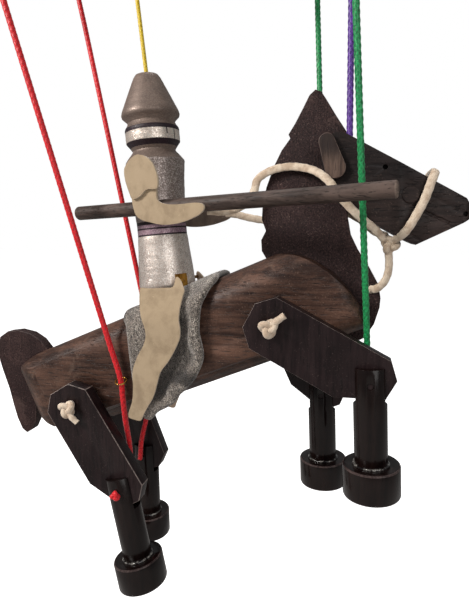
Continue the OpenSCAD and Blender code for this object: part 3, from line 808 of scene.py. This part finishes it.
def add_rider():
    """The turned body, painted in bands, with a notch on each side of its plinth."""
    around, rings = 144, lathe(RIDER_PROFILE, 0.9)
    vertices = []
    for r, h in rings[1:-1]:
        for k in range(around):
            a = 2 * pi * k / around
            wobble = 1 + 0.002 * sin(h * 1.7 + sin(h * 0.6))
            vertices.append(rider_at(r * wobble * cos(a), r * wobble * sin(a), h))
    rows = len(rings) - 2
    made = new_piece("rider_figure", vertices, tube_faces(rows, around),
                     [silver, waist_purple, line_paint, visor_silver, taupe, bare_wood,
                      chest_silver])
    heights = [h for r, h in rings[1:-1]]
    for index, face in enumerate(made.data.polygons):
        row = min(index // around, rows - 1)
        if index >= (rows - 1) * around:
            face.material_index = 0 if index == (rows - 1) * around else 4
            continue
        middle = (heights[row] + heights[row + 1]) / 2
        for low, high, mark in BANDS:
            if low <= middle < high:
                face.material_index = mark
        if face.material_index == 3:
            angle = degrees((index % around + 0.5) * 2 * pi / around)
            angle = (angle + 180) % 360 - 180
            if any(abs(angle - stroke) < 2.4 and middle > low for stroke, low in VISOR_STROKES.items()):
                face.material_index = 2
    made.data.set_sharp_from_angle(angle=radians(35))
    cutters = []
    for side in (NEAR, FAR):
        corners = [rider_at(x, side * y, h) for x in (10, 15) for y in (6.5, 20) for h in (-1.5, 8)]
        order = [(0, 1, 3, 2), (4, 6, 7, 5), (0, 4, 5, 1), (2, 3, 7, 6), (0, 2, 6, 4), (1, 5, 7, 3)]
        cutter = new_piece("notch_cutter", corners, order, bare_wood, smooth=False)
        recalculate(cutter, smooth=False)
        cutters.append(cutter)
    carve(made, cutters, "TRANSFER")
    stand_in(made, "rider_body", "rider")


add_rider()


# Suede and felt

def suede_finish(name, light, dark):
    """Split leather: short nap in brushed patches, with darker handling marks."""
    light, dark = srgb(*light), srgb(*dark)
    made, tree, shader = material(name, Roughness=0.92, Sheen_Weight=0.5, Sheen_Roughness=0.45,
                                  Specular_IOR_Level=0.2)
    still = place(tree)
    nap = speckle(tree, still, 2300, 5, 0.7)
    brushed = speckle(tree, place(tree, (1, 1, 0.8)), 110, 5, 0.62, 0.2)
    colour = mix(tree, span(tree, brushed, 0.40, 0.70), light, dark)
    pit = span(tree, nap, 0.58, 0.74)
    colour = mix(tree, times(tree, pit, 0.28), colour, dimmed(dark, 0.45))
    spot = span(tree, speckle(tree, still, 620, 2, 0.5), 0.70, 0.76)
    colour = mix(tree, times(tree, spot, 0.35), colour, srgb(226, 206, 170))
    plug(tree, shader, Base_Color=colour, Normal=bumps(tree, nap, 0.55, 0.0006))
    return made


suede = suede_finish("suede", (182, 161, 133), (158, 138, 112))
suede_cut = suede_finish("suede_cut", (204, 184, 156), (178, 158, 130))
# Painted shade: a darker copy of the suede, for the far arm in shadow.
shaded_far_suede = suede_finish("shaded_far_suede", (128, 112, 100), (102, 88, 79))
pale_suede = suede_finish("pale_suede", (214, 190, 168), (196, 172, 150))


def felt_finish():
    """Heather felt: pale, dark and mid fibres matted together."""
    made, tree, shader = material("felt", Roughness=0.95, Sheen_Weight=0.6, Sheen_Roughness=0.5,
                                  Specular_IOR_Level=0.15)
    still = place(tree)
    fibre = speckle(tree, place(tree, (1, 0.6, 1.4), (20, 35, 10)), 1500, 5, 0.72, 1.2)
    fleck = speckle(tree, place(tree, (1.3, 1, 0.7), (50, 10, 40)), 1150, 4, 0.66, 1.6)
    cloud = speckle(tree, still, 160, 3, 0.6)
    colour = mix(tree, span(tree, fibre, 0.40, 0.60), srgb(66, 57, 52), srgb(176, 163, 150))
    colour = mix(tree, span(tree, fleck, 0.51, 0.58), colour, srgb(20, 16, 15))
    colour = mix(tree, span(tree, fleck, 0.37, 0.44, 0.95, 0.0), colour, srgb(240, 232, 220))
    colour = mix(tree, span(tree, cloud, 0.35, 0.7, 0, 0.35), colour, srgb(58, 52, 48))
    # Painted shade: the felt darkens where the blanket marks it, for the leg's shadow behind the front
    # fold and the dark gap under the hem.
    painted_shade = add(tree, "Attribute", {"attribute_name": "painted_shade"}).outputs["Fac"]
    colour = mix(tree, painted_shade, colour, (0.17, 0.155, 0.15, 1), "MULTIPLY")
    plug(tree, shader, Base_Color=colour, Normal=bumps(tree, fibre, 0.8, 0.0009))
    return made


felt = felt_finish()


def closed_spline(points, step):
    """A smooth closed outline through 2-D points, a step apart."""
    p = [tuple(q) + (0.0,) for q in points]
    line = spline(p[-3:] + p + p[:3], step)
    start = int(np.argmin(np.linalg.norm(line - np.array(p[0]), axis=1)[:len(line) // 3]))
    rest = line[start + len(line) // 3:]
    near = np.linalg.norm(rest - line[start], axis=1)
    end = start + len(line) // 3 + int(np.argmin(near))
    return line[start:end, :2]


def inside(points, outline):
    """Whether each 2-D point lies inside the outline."""
    x, y = points[:, 0][:, None], points[:, 1][:, None]
    x0, y0 = outline[:, 0][None, :], outline[:, 1][None, :]
    x1, y1 = np.roll(outline[:, 0], -1)[None, :], np.roll(outline[:, 1], -1)[None, :]
    cross = ((y0 > y) != (y1 > y)) & (x < (x1 - x0) * (y - y0) / (y1 - y0 + 1e-12) + x0)
    return cross.sum(1) % 2 == 1


def from_edge(points, outline):
    """Distance of each 2-D point from the outline."""
    a, b = outline, np.roll(outline, -1, axis=0)
    span_ab = b - a
    t = ((points[:, None, :] - a) * span_ab).sum(2) / ((span_ab ** 2).sum(1) + 1e-12)
    nearest = a + np.clip(t, 0, 1)[..., None] * span_ab
    return np.linalg.norm(points[:, None, :] - nearest, axis=2).min(1)


def ease(value, low, high):
    """0 below low, 1 above high, smooth between."""
    t = clamped((value - low) / (high - low))
    return t * t * (3 - 2 * t)


def declare_sheet(outline):
    """Works out the area of a cut sheet from its outline."""
    x, y = outline[:, 0], outline[:, 1]
    area = abs(float((x * np.roll(y, -1) - y * np.roll(x, -1)).sum())) / 2


def panel(name, outline, lift, half, finish, step, nap, seed, crisp=0.42):
    """A sheet of soft stuff, its cut edge in the second finish. lift(p, q, w) gives the point w
    out from the middle of the sheet. crisp is the share of its thickness left at the edge."""
    low, high = outline.min(0), outline.max(0)
    rows = int((high[1] - low[1]) / (step * 0.87)) + 2
    grid = [(low[0] + step * (i + 0.5 * (j % 2)), low[1] + step * 0.87 * j)
            for j in range(rows) for i in range(int((high[0] - low[0]) / step) + 2)]
    grid = np.array(grid)
    grid = grid[inside(grid, outline)]
    flat = np.vstack([outline, grid[from_edge(grid, outline) > step * 0.62]])
    count = len(outline)
    edges = [(i, (i + 1) % count) for i in range(count)]
    points, _, faces, _, _, _ = delaunay_2d_cdt([Vector(p) for p in flat], edges, [], 1, 1e-5)
    flat = np.array([tuple(p) for p in points])
    away = from_edge(flat, outline)
    round_edge = np.sqrt(np.clip(1 - (1 - np.clip(away / half, 0, 1)) ** 2, 0, 1))
    vertices = []
    for side in (1, -1):
        for (p, q), r in zip(flat, round_edge):
            rough = nap * (noise.noise((p * 0.9 + seed, q * 0.9, side * 3.1))
                           + 0.6 * noise.noise((p * 2.3, q * 2.3 + seed, side * 7.7)))
            vertices.append(lift(p, q, side * (half * (crisp + (1 - crisp) * r) + rough)))
    count = len(flat)
    triangles = []
    for face in faces:
        triangles.append(tuple(face))
        triangles.append(tuple(i + count for i in reversed(face)))
    used = {}
    for face in faces:
        for a, b in zip(face, list(face[1:]) + [face[0]]):
            used[(a, b)] = used.get((a, b), 0) + 1
    rim = [(b, a, a + count, b + count) for a, b in used if (b, a) not in used]
    made = new_piece(name, vertices, triangles + rim, finish)
    recalculate(made)
    if crisp > 0.6:
        made.data.set_sharp_from_angle(angle=radians(48))
        for face in made.data.polygons[len(triangles):]:
            face.material_index = 1
    return made


# How far out a suede leg hangs at each height
BEND = [
    (-90, 28.8), (-4, 28.8), (-1, 28.5), (2, 27.9), (5, 26.9), (10, 24.8), (15, 22.2), (18, 20.3),
    (20.4, 18.6), (23, 17.4), (30, 16.9)]
# Side view of a suede leg, as hip points
LEG_OUTLINE = [
    (-74, 16.4), (-70, 16.5), (-66.6, 16.5), (-60, 17.0), (-56, 17.2), (-54.9, 17.7),
    (-54.6, 19.5), (-54.4, 22), (-53.7, 23), (-52.6, 22.4), (-51.2, 21), (-50, 19.2),
    (-48.2, 16.1), (-48.6, 12.8), (-49.2, 7), (-49.2, 1.3), (-48.3, -3.8), (-48.6, -8.3),
    (-51.2, -14.6), (-55.4, -21.9), (-59.6, -27.6), (-61.8, -34.1), (-63.4, -39.6), (-65.4, -44.2),
    (-67.8, -48), (-69.8, -51.6), (-71.6, -55.2), (-72.2, -56.7), (-74, -57), (-77, -56.5),
    (-79.6, -55.7), (-79.9, -54), (-77.2, -45.8), (-76.2, -36.8), (-76.2, -28.8), (-73.5, -20.7),
    (-69.5, -13.4), (-68.1, -8.6), (-68.4, -4.8), (-70.9, 1.9), (-72.6, 8), (-73.6, 13)]
LEG_PIVOT = (-54, 20.2)
SUEDE_HALF = 0.75


def add_legs():
    heights, outs = zip(*BEND)
    for name, side, stretch, finish in (("right_leg", NEAR, 1.0, suede),
                                        ("left_leg", FAR, 1.18, pale_suede)):
        back = 2.5 * (side == FAR)
        drawn = [(x - back * ease(-z, -16, 50), LEG_PIVOT[1] + stretch * (z - LEG_PIVOT[1]))
                 for x, z in LEG_OUTLINE]
        outline = closed_spline(drawn, 0.7)

        def lift(x, z, w, side=side):
            out = float(np.interp(z, heights, outs))
            slope = (np.interp(z + 0.5, heights, outs) - np.interp(z - 0.5, heights, outs))
            ripple = 0.35 * sin(z * 0.16 + 0.6) * clamped((10 - z) / 30)
            long = hypot(1, slope)
            return at(x, side * (out + ripple + w / long), z - w * slope / long)

        made = panel(name + "_suede", outline, lift, SUEDE_HALF, [finish, suede_cut], 1.05, 0.05,
                     3.0 + side, 0.8)
        stand_in(made, name, "rider_" + name)
        declare_sheet(outline)


add_legs()


# The lance's frame turns outward and rises a little; the far arm's frame only turns
LANCE_TURN, LANCE_RISE = radians(-11), radians(2.4)
LANCE_AT, FAR_ARM_AT = (-70, -21, 60), (-72, 19.4, 60)


def lance_at(x, y, z):
    """A point of the lance's frame in the row frame."""
    x, z = rotated(x, z, LANCE_RISE)
    x, y = rotated(x, y, LANCE_TURN)
    return at(LANCE_AT[0] + x, LANCE_AT[1] + y, LANCE_AT[2] + z)


def far_arm_at(x, y, z):
    """A point of the far arm's frame in the row frame; its shoulder hangs a little back."""
    x, y = rotated(x - 4 * clamped((z - 2) / 8), y, LANCE_TURN)
    return at(FAR_ARM_AT[0] + x, FAR_ARM_AT[1] + y, FAR_ARM_AT[2] + z)


# Side views of an arm's two layers, in the lance's frame
UPPER_ARM = [
    (-0.8, 26.2), (1.5, 27), (3.8, 26.7), (6.8, 25.6), (9.3, 23.8), (11.3, 21.2), (12.6, 18.1),
    (13.4, 15.4), (13.6, 13), (13.4, 10.6), (12.6, 8.9), (10, 8.8), (7, 9.1), (5.2, 8.4), (3.6, 7),
    (1.2, 5.4), (-1.1, 4.7), (-3.1, 4.9), (-4.4, 7.6), (-5.6, 10.9), (-6.6, 15), (-6.9, 19),
    (-6.5, 21), (-5.4, 22.5), (-3.4, 24.6)]
FOREARM_START = [
    (-4.4, 5), (-4.2, 2.9), (-3.7, 0), (-3, -2.5), (-2, -4.2), (-0.7, -5.4), (2.6, -6.9),
    (6.8, -8), (11, -9)]
HAND = [
    (14.5, -9.5), (20, -9.5), (24.7, -8.9), (28.5, -8.1), (32.3, -6.9), (35.2, -5.8), (37.4, -4.4),
    (38.8, -2.5), (38.7, -1.2), (37.6, -0.2), (35.8, 0.3), (31.6, 0.5), (23.9, 0.3), (19, 0.6),
    (16.5, 1)]
FOREARM_END = [
    (12.6, 2.4), (11.4, 4), (11.1, 6), (11.4, 8.7), (10.4, 13), (7.6, 18.5), (5.4, 21.6),
    (3, 23.4), (0, 23.9), (-3, 22.6), (-4.6, 19.6), (-5.2, 15), (-5, 10)]


def forearm(reach):
    k = (reach - 13) / 25.8
    return FOREARM_START + [(13 + (x - 13) * k, z) for x, z in HAND] + FOREARM_END


def add_arms():
    for name, drawn, where, layer, finish in (
            ("right_forearm", forearm(38.8), lance_at, -4.9, suede),
            ("right_upper_arm", UPPER_ARM, lance_at, -6.7, suede),
            # The far arm takes the suede copy darkened as painted shade.
            ("left_forearm", forearm(43), far_arm_at, 0.0, shaded_far_suede),
            ("left_upper_arm", UPPER_ARM, far_arm_at, 1.8, shaded_far_suede)):
        outline = closed_spline(drawn, 0.6)
        side = -1 if layer < 0 else 1

        def lift(x, z, w, where=where, layer=layer, side=side):
            bulge = 0.25 * sin(x * 0.21) * cos(z * 0.17)
            return where(x, layer + side * (w + abs(bulge) * (w > 0)), z)

        made = panel(name + "_suede", outline, lift, SUEDE_HALF, [finish, suede_cut], 0.95, 0.05,
                     5.0 + layer, 0.8)
        stand_in(made, name, "lance_arms")
        declare_sheet(outline)


add_arms()


# Saddle blanket

PITCH = radians(23)


def trunk_at(u, y, v):
    """A point of the pitched trunk's frame in the row frame."""
    x, z = rotated(u, v, PITCH)
    return at(x, y, z)


FELT_HALF = 1.6
# Height of the felt's middle over the trunk's axis, half its flat top and the bend's radius
FELT_TOP, FELT_FLAT, FELT_BEND = 35.1, 7.4, 16.2
SIDE_LINE = FELT_TOP - FELT_BEND
# Where the rider presses the blanket down, and how far round it
SEAT_U, SEAT_SPREAD = -55.1, 17


def around_trunk(q, out):
    """Across the trunk at distance q round its section from the top middle: y, v and the
    outward direction, out millimetres further out."""
    side = -1 if q < 0 else 1
    q = abs(q)
    arc = FELT_BEND * pi / 2
    if q < FELT_FLAT:
        return side * q, FELT_TOP + out
    if q < FELT_FLAT + arc:
        a = (q - FELT_FLAT) / FELT_BEND
        r = FELT_BEND + out
        return side * (FELT_FLAT + r * sin(a)), SIDE_LINE + r * cos(a)
    return side * (FELT_FLAT + FELT_BEND + out), SIDE_LINE - (q - FELT_FLAT - arc)


def round_distance(x, z):
    """Trunk-frame u and the distance round the section of a side-view hip point."""
    u, v = rotated(x, z, -PITCH)
    if v < SIDE_LINE:
        return u, FELT_FLAT + FELT_BEND * pi / 2 + SIDE_LINE - v
    return u, FELT_FLAT + FELT_BEND * acos(min(1.0, (v - SIDE_LINE) / FELT_BEND))


# Side views of the blanket's edge, from its front top to its rear top, as hip points
NEAR_EDGE = [
    (-31.2, 23), (-34.6, 15), (-37.5, 8.5), (-38.6, 1.6), (-38.6, -5.9), (-37, -13.4),
    (-36.6, -19.6), (-38.2, -25.1), (-42, -32.5), (-47, -38.3), (-50.5, -41.6), (-53.5, -46),
    (-57.5, -48.8), (-63.4, -52.4), (-68, -57.2), (-71.5, -56.6), (-74.5, -52), (-78, -42),
    (-79.8, -29.5), (-81, -17.6), (-82, -9), (-83.6, -5), (-86.4, -2.4), (-87.6, 1.6)]
FAR_EDGE = [
    (-32, 22.6), (-35, 14), (-38, 6), (-37.4, -6), (-38.4, -16), (-41, -28), (-47, -38),
    (-55, -46), (-64, -52.5), (-71, -56), (-75, -50), (-78.4, -40), (-80.6, -24), (-82.4, -9),
    (-85.6, -2), (-86.8, 2)]

# Front edge of the rider's leg at each height, as height and hip x
LEG_FRONT = [
    (-57, -71.6), (-48, -67), (-34, -61.8), (-28, -59.6), (-22, -55.4), (-14, -51.2), (-4, -48.3),
    (7, -49.2), (16, -48.2)]


def add_blanket():
    """Felt draped over the back: its front edge and hem stand out in a wavy fold, and it lies
    close to the trunk behind them."""
    edges = {}
    for side, points, hem in ((-1, NEAR_EDGE, 10), (1, FAR_EDGE, 7)):
        line = [round_distance(x, z) for x, z in points]
        dense = [spline([(u, q, 0) for u, q in part], 0.5)[:, :2]
                 for part in (line[:hem + 1], line[hem:hem + 7 if side < 0 else hem + 4])]
        edges[side] = (line, *dense)
    drawn = [(-19.4, 1.5), (-19.8, -7)] + [(u, -q) for u, q in edges[-1][0]] + [(-77.6, -6), (-78, 4)]
    drawn += [(u, q) for u, q in reversed(edges[1][0])] + [(-20, 9)]
    outline = closed_spline(drawn, 1.2)
    leg_z, leg_x = zip(*LEG_FRONT)
    painted_shade = []

    def lift(u, q, w):
        side = -1 if q < 0 else 1
        drop = abs(q) - FELT_FLAT - FELT_BEND * 1.1
        spot = np.array((u, abs(q)))
        to_front, to_hem = (float(np.linalg.norm(line - spot, axis=1).min())
                            for line in edges[side][1:])
        x, _, z = (trunk_at(u, 0, SIDE_LINE - drop) / MM - Vector(HIP))
        ahead = x - float(np.interp(z, leg_z, leg_x))
        wave = 0.5 + 0.5 * sin(0.30 * abs(q) + 0.8 * (side < 0))
        broad = 3.6 + 2.2 * wave
        fold = (1 - ease(to_front, broad, broad + 3.2)) * ease(drop, -12, 4)
        curl = 1 - ease(to_hem, 4.2, 7.0)
        out = max(fold * (1.5 + 0.5 * wave), curl * 1.9)
        # Painted shade: the felt's colour is darkened just behind the raised fold, where the rider's
        # leg casts its shadow, and in the gap under the hem's curl.
        behind = ease(to_front, broad + 1.2, broad + 3.8) * ease(drop, 0, 8)
        under = ease(to_hem, 6.0, 8.0) * (1 - ease(to_hem, 13, 18))
        painted_shade.append(max(behind * 0.75, under) * ease(ahead, -9, -3) * ease(to_hem, 5, 7))
        press = exp(-((u - SEAT_U) / SEAT_SPREAD) ** 4 - (q / SEAT_SPREAD) ** 4)
        y, v = around_trunk(q, max(out, -0.3) + w - 0.55 * press * (w > 0))
        return trunk_at(u, y, v)

    made = panel("saddle_blanket_felt", outline, lift, FELT_HALF, [felt, felt], 1.2, 0.16, 11.0)
    keep(made, "painted_shade", painted_shade)
    stand_in(made, "saddle_blanket", "root")
    declare_sheet(outline)


add_blanket()


# Knots, rings and glue

def knot_line(centre, size, facing, turn):
    """A closed overhand knot about a centre, in metres. facing is the way its face looks."""
    facing = Vector(facing).normalized()
    side = facing.cross(Vector((0, 0, 1)))
    side = side.normalized() if side.length > 0.1 else Vector((1, 0, 0))
    up = side.cross(facing)
    points = []
    for t in np.linspace(0, 2 * pi, 90, endpoint=False):
        a = (sin(t) + 2 * sin(2 * t)) / 3
        b = (cos(t) - 2 * cos(2 * t)) / 3
        c = -sin(3 * t) / 3
        a, b = rotated(a, b, turn)
        points.append(centre + (side * a + up * b) * size + facing * c * size * 1.15)
    return np.array([tuple(p) for p in points])


def closed_tube(line, size, around):
    """Vertices and faces of a tube round a closed line."""
    looped = np.vstack([line, line[:1]])
    vertices = sweep(looped, size, around)[:len(line) * around]
    n = len(line)
    return vertices, [(i * around + j, i * around + (j + 1) % around,
                       (i + 1) % n * around + (j + 1) % around, (i + 1) % n * around + j)
                      for i in range(n) for j in range(around)]


def add_knot(name, centre, size, thick, facing, finish, body, turn=0.0, tails=(),
             replaced=()):
    """A pulled knot with its tails. A tail is a list of points, each in metres."""
    shape = plain(thick, 0.06, turn)
    vertices, faces = closed_tube(knot_line(centre, size, facing, turn), shape, 14)
    vertices = list(vertices)
    for tail in tails:
        line = spline(tail, 0.0005)
        count = len(vertices)
        vertices += list(sweep(line, shape, 14, flat=0.8))
        faces += tube_faces(len(line), 14, first=count)
    made = new_piece(name, vertices, faces, finish)
    recalculate(made)
    keep(made, "strand", [1] * len(vertices))
    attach(made, body)
    if replaced:
        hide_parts(*replaced)


def add_rod(name, points, thick, around, finish, body, node):
    """A short straight rod of lace in place of a CAD node."""
    made = tube(name, spline(points, 0.002), plain(thick, 0.03), around, finish, body, "lace")
    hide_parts(node)


def hip_knots():
    """The hip laces: a knot outside each thigh, with short cut tails."""
    for end, (x, z), tail in (("front", (0, 0), (4.2, 4.6)),
                              ("rear", rotated(-127, -3, PITCH), (3.4, -5.0))):
        add_rod(end + "_hip_lace_rod", [at(x, y, z) for y in (-32.6, 0, 32.6)], 3.4 * MM, 14, lace,
                "root", end + "_hip_lace")
        for side, word in SIDES:
            y = side * 33.6
            tails = [[at(x, y, z), at(x + 0.8 * tail[0], y + side * 1.0, z + 0.7 * tail[1]),
                      at(x + 1.9 * tail[0], y + side * 0.3, z + 1.5 * tail[1])]]
            add_knot(f"{end}_{word}_hip_knot", at(x, y, z), 3.7 * MM, 3.5 * MM, (0.12, side, 0.05),
                     lace, "root", turn=0.7 + 0.9 * side, tails=tails)


hip_knots()

add_knot("rein_knot_lace", at(57.8, -5.0, 40.9), 3.7 * MM, 3.4 * MM, (0.25, -1, 0.1), lace, "head",
         turn=0.4, replaced=("rein_knot",))
add_knot("chest_knot", at(49, 7.6, 17.5), 2.2 * MM, 2.6 * MM, (0, 1, 0), lace, "root",
         tails=[[at(49, 7.6, 17.5), at(50.5, 9, 15.5), at(51.5, 9, 11.5)]])


def add_cord_knots():
    """A knot above each cord's hole in the control, and the red ones outside the rear knees."""
    for name, (top, _, thick, finish, *_) in STRINGS.items():
        tail = [top + Vector(p) * MM for p in ((0, 0, 2.3), (1.6, -0.8, 4.2), (3.4, -2.2, 4.4))]
        add_knot(name.replace("_string", "_top_knot"), tail[0], 1.25 * thick, 1.15 * thick,
                 (0.2, -0.3, 1), finish, "root",
                 turn=thick * 700, tails=[tail], replaced=("control_knots",))
    for side, word, x, z in ((NEAR, "right", -86.1, -99.9), (FAR, "left", -95.7, -104.7)):
        add_knot(f"rear_{word}_knee_knot", at(x, side * 36.2, z), 1.9 * MM, 2.3 * MM,
                 (0.1, side, 0.1), cord_red, f"rear_{word}_lower", turn=1.1)


add_cord_knots()


RING_X, RING_Y, RING_Z = -86, 24.6, -36.4


def add_rings():
    """Brass screw eyes on the trunk: a bent wire ring, nearly closed, with its stem."""
    for side, word in SIDES:
        centre = Vector((RING_X, side * RING_Y, RING_Z))
        ring = [centre + Vector((3.1 * cos(a), 3.1 * sin(a), -1.2 * side * sin(a)))
                for a in np.linspace(radians(100 if side > 0 else -80),
                                     radians(446 if side > 0 else 266), 40)]
        line = spline([at(*p) for p in ring], 0.00025)
        vertices = list(sweep(line, plain(0.9 * MM, 0.02), 12, start=(0, 0, 1)))
        faces = tube_faces(len(line), 12)
        stem = spline([at(RING_X, side * y, RING_Z) for y in (22.1, 19.5, 15)], 0.0003)
        count = len(vertices)
        vertices += list(sweep(stem, plain(1.2 * MM, 0.0), 12, start=(0, 0, 1)))
        faces += tube_faces(len(stem), 12, first=count)
        made = new_piece(word + "_guide_eye", vertices, faces, brass, "root")
        recalculate(made)
        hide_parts("guide_rings")


add_rings()

# Each leg's knee in side view, and its shank's forward tilt in degrees
SWINGS = {"front_right": ((49.7, -25.9), 3), "front_left": ((23.2, -51.0), 2.5),
          "rear_right": ((-86.1, -99.9), 11.5), "rear_left": ((-95.7, -104.7), 1)}


def add_glue():
    """A bead of dried glue where each shank enters its hoof."""
    made, tree, shader = material("glue", Roughness=0.12, Coat_Weight=0.6, Coat_Roughness=0.05,
                                  Transmission_Weight=0.25)
    drip = speckle(tree, place(tree), 420, 3, 0.5)
    colour = mix(tree, span(tree, drip, 0.45, 0.7), srgb(30, 26, 27), srgb(176, 172, 166))
    plug(tree, shader, Base_Color=colour, Normal=bumps(tree, drip, 0.5, 0.0006))
    for leg, ((x, z), swing) in SWINGS.items():
        side = NEAR if "right" in leg else FAR
        tilt = radians(swing)
        down = Vector((sin(tilt), 0, -cos(tilt)))
        ahead = Vector((cos(tilt), 0, sin(tilt)))
        middle = Vector((x, side * 27, z)) + down * 41.9
        ring = []
        for i in range(96):
            a = 2 * pi * i / 96
            bump = noise.noise((cos(a) * 2.1 + x, sin(a) * 2.1, z))
            point = (middle + ahead * (8.5 * cos(a)) + Vector((0, 8.5 * sin(a), 0))
                     - down * (0.15 + 0.25 * bump))
            ring.append(tuple(at(*point)))

        def bead(angles, gone):
            return (0.62 + 0.3 * np.sin(gone * 420 + x) * np.sin(gone * 170 + z)) * MM + 0 * angles

        vertices, faces = closed_tube(np.array(ring), bead, 10)
        piece = new_piece(leg + "_hoof_glue", vertices, faces, made, leg + "_lower")
        recalculate(piece)


add_glue()
for leg in LEGS:
    dress(leg + "_knee_pin", leg + "_lower", thigh_wood, 0.3)


def hide_laces():
    """The laces inside the rider: only their ends show."""
    add_rod("shoulder_lace_rod", [rider_at(0, y, 64.4) for y in (-26.2, 0, 20)], 3.4 * MM, 14, lace,
            "rider", "shoulder_lace")
    add_rod("leg_lace_rod", [at(-54, y, 20.2) for y in (-18.2, 0, 18.2)], 2 * MM, 12, bare_wood,
            "rider", "leg_lace")


hide_laces()


# Floor and light

# What the lamps point at
MIDDLE = (0.0, 0.0, -0.2)


def add_lamp(name, where, size, power, tint=(1, 1, 1)):
    data = bpy.data.lights.new(name, "AREA")
    data.size = size
    data.energy = power
    data.color = tint
    lamp = add_object(name, data)
    lamp.location = Vector(where)
    lamp.rotation_euler = (Vector(MIDDLE) - lamp.location).to_track_quat("-Z", "Y").to_euler()


def add_stage():
    """A pale floor under white surroundings, and soft boxes to the left, right and above."""
    made, tree, shader = material("floor", Roughness=0.9)
    seen = add(tree, "LightPath").outputs["Is Camera Ray"]
    tone = speckle(tree, place(tree), 3, 3, 0.5)
    pale = mix(tree, tone, (0.93, 0.93, 0.93, 1), (0.96, 0.96, 0.96, 1))
    plug(tree, shader, Base_Color=mix(tree, seen, (0.30, 0.29, 0.28, 1), pale), Emission_Color=pale,
         Emission_Strength=span(tree, seen, 0, 1, 0.10, 0.86, smooth=False))
    floor = new_piece("floor", [(-6, -6, -0.42), (6, -6, -0.42), (6, 6, -0.42), (-6, 6, -0.42)],
                      [(0, 1, 2, 3)], made)
    floor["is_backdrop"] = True
    world = bpy.data.worlds.new("studio")
    bpy.context.scene.world = world
    world.use_nodes = True
    tree = world.node_tree
    sky = tree.nodes["Background"]
    sky.inputs["Color"].default_value = (1, 1, 1, 1)
    seen = add(tree, "LightPath").outputs["Is Camera Ray"]
    put(tree, sky.inputs["Strength"], span(tree, seen, 0, 1, 0.20, 1.0, smooth=False))
    add_lamp("key", (-0.66, -0.62, 0.36), 0.28, 10.0, (1, 0.96, 0.92))
    add_lamp("fill", (0.60, -0.75, 0.1), 0.6, 2.6, (1, 0.98, 0.96))
    add_lamp("top", (-0.1, 0.25, 0.9), 0.5, 5.0)
    bpy.context.scene.view_settings.view_transform = "Standard"


add_stage()

str([[round(float(v), 5) for v in corner] for box in (cad_box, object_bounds())
               for corner in box])
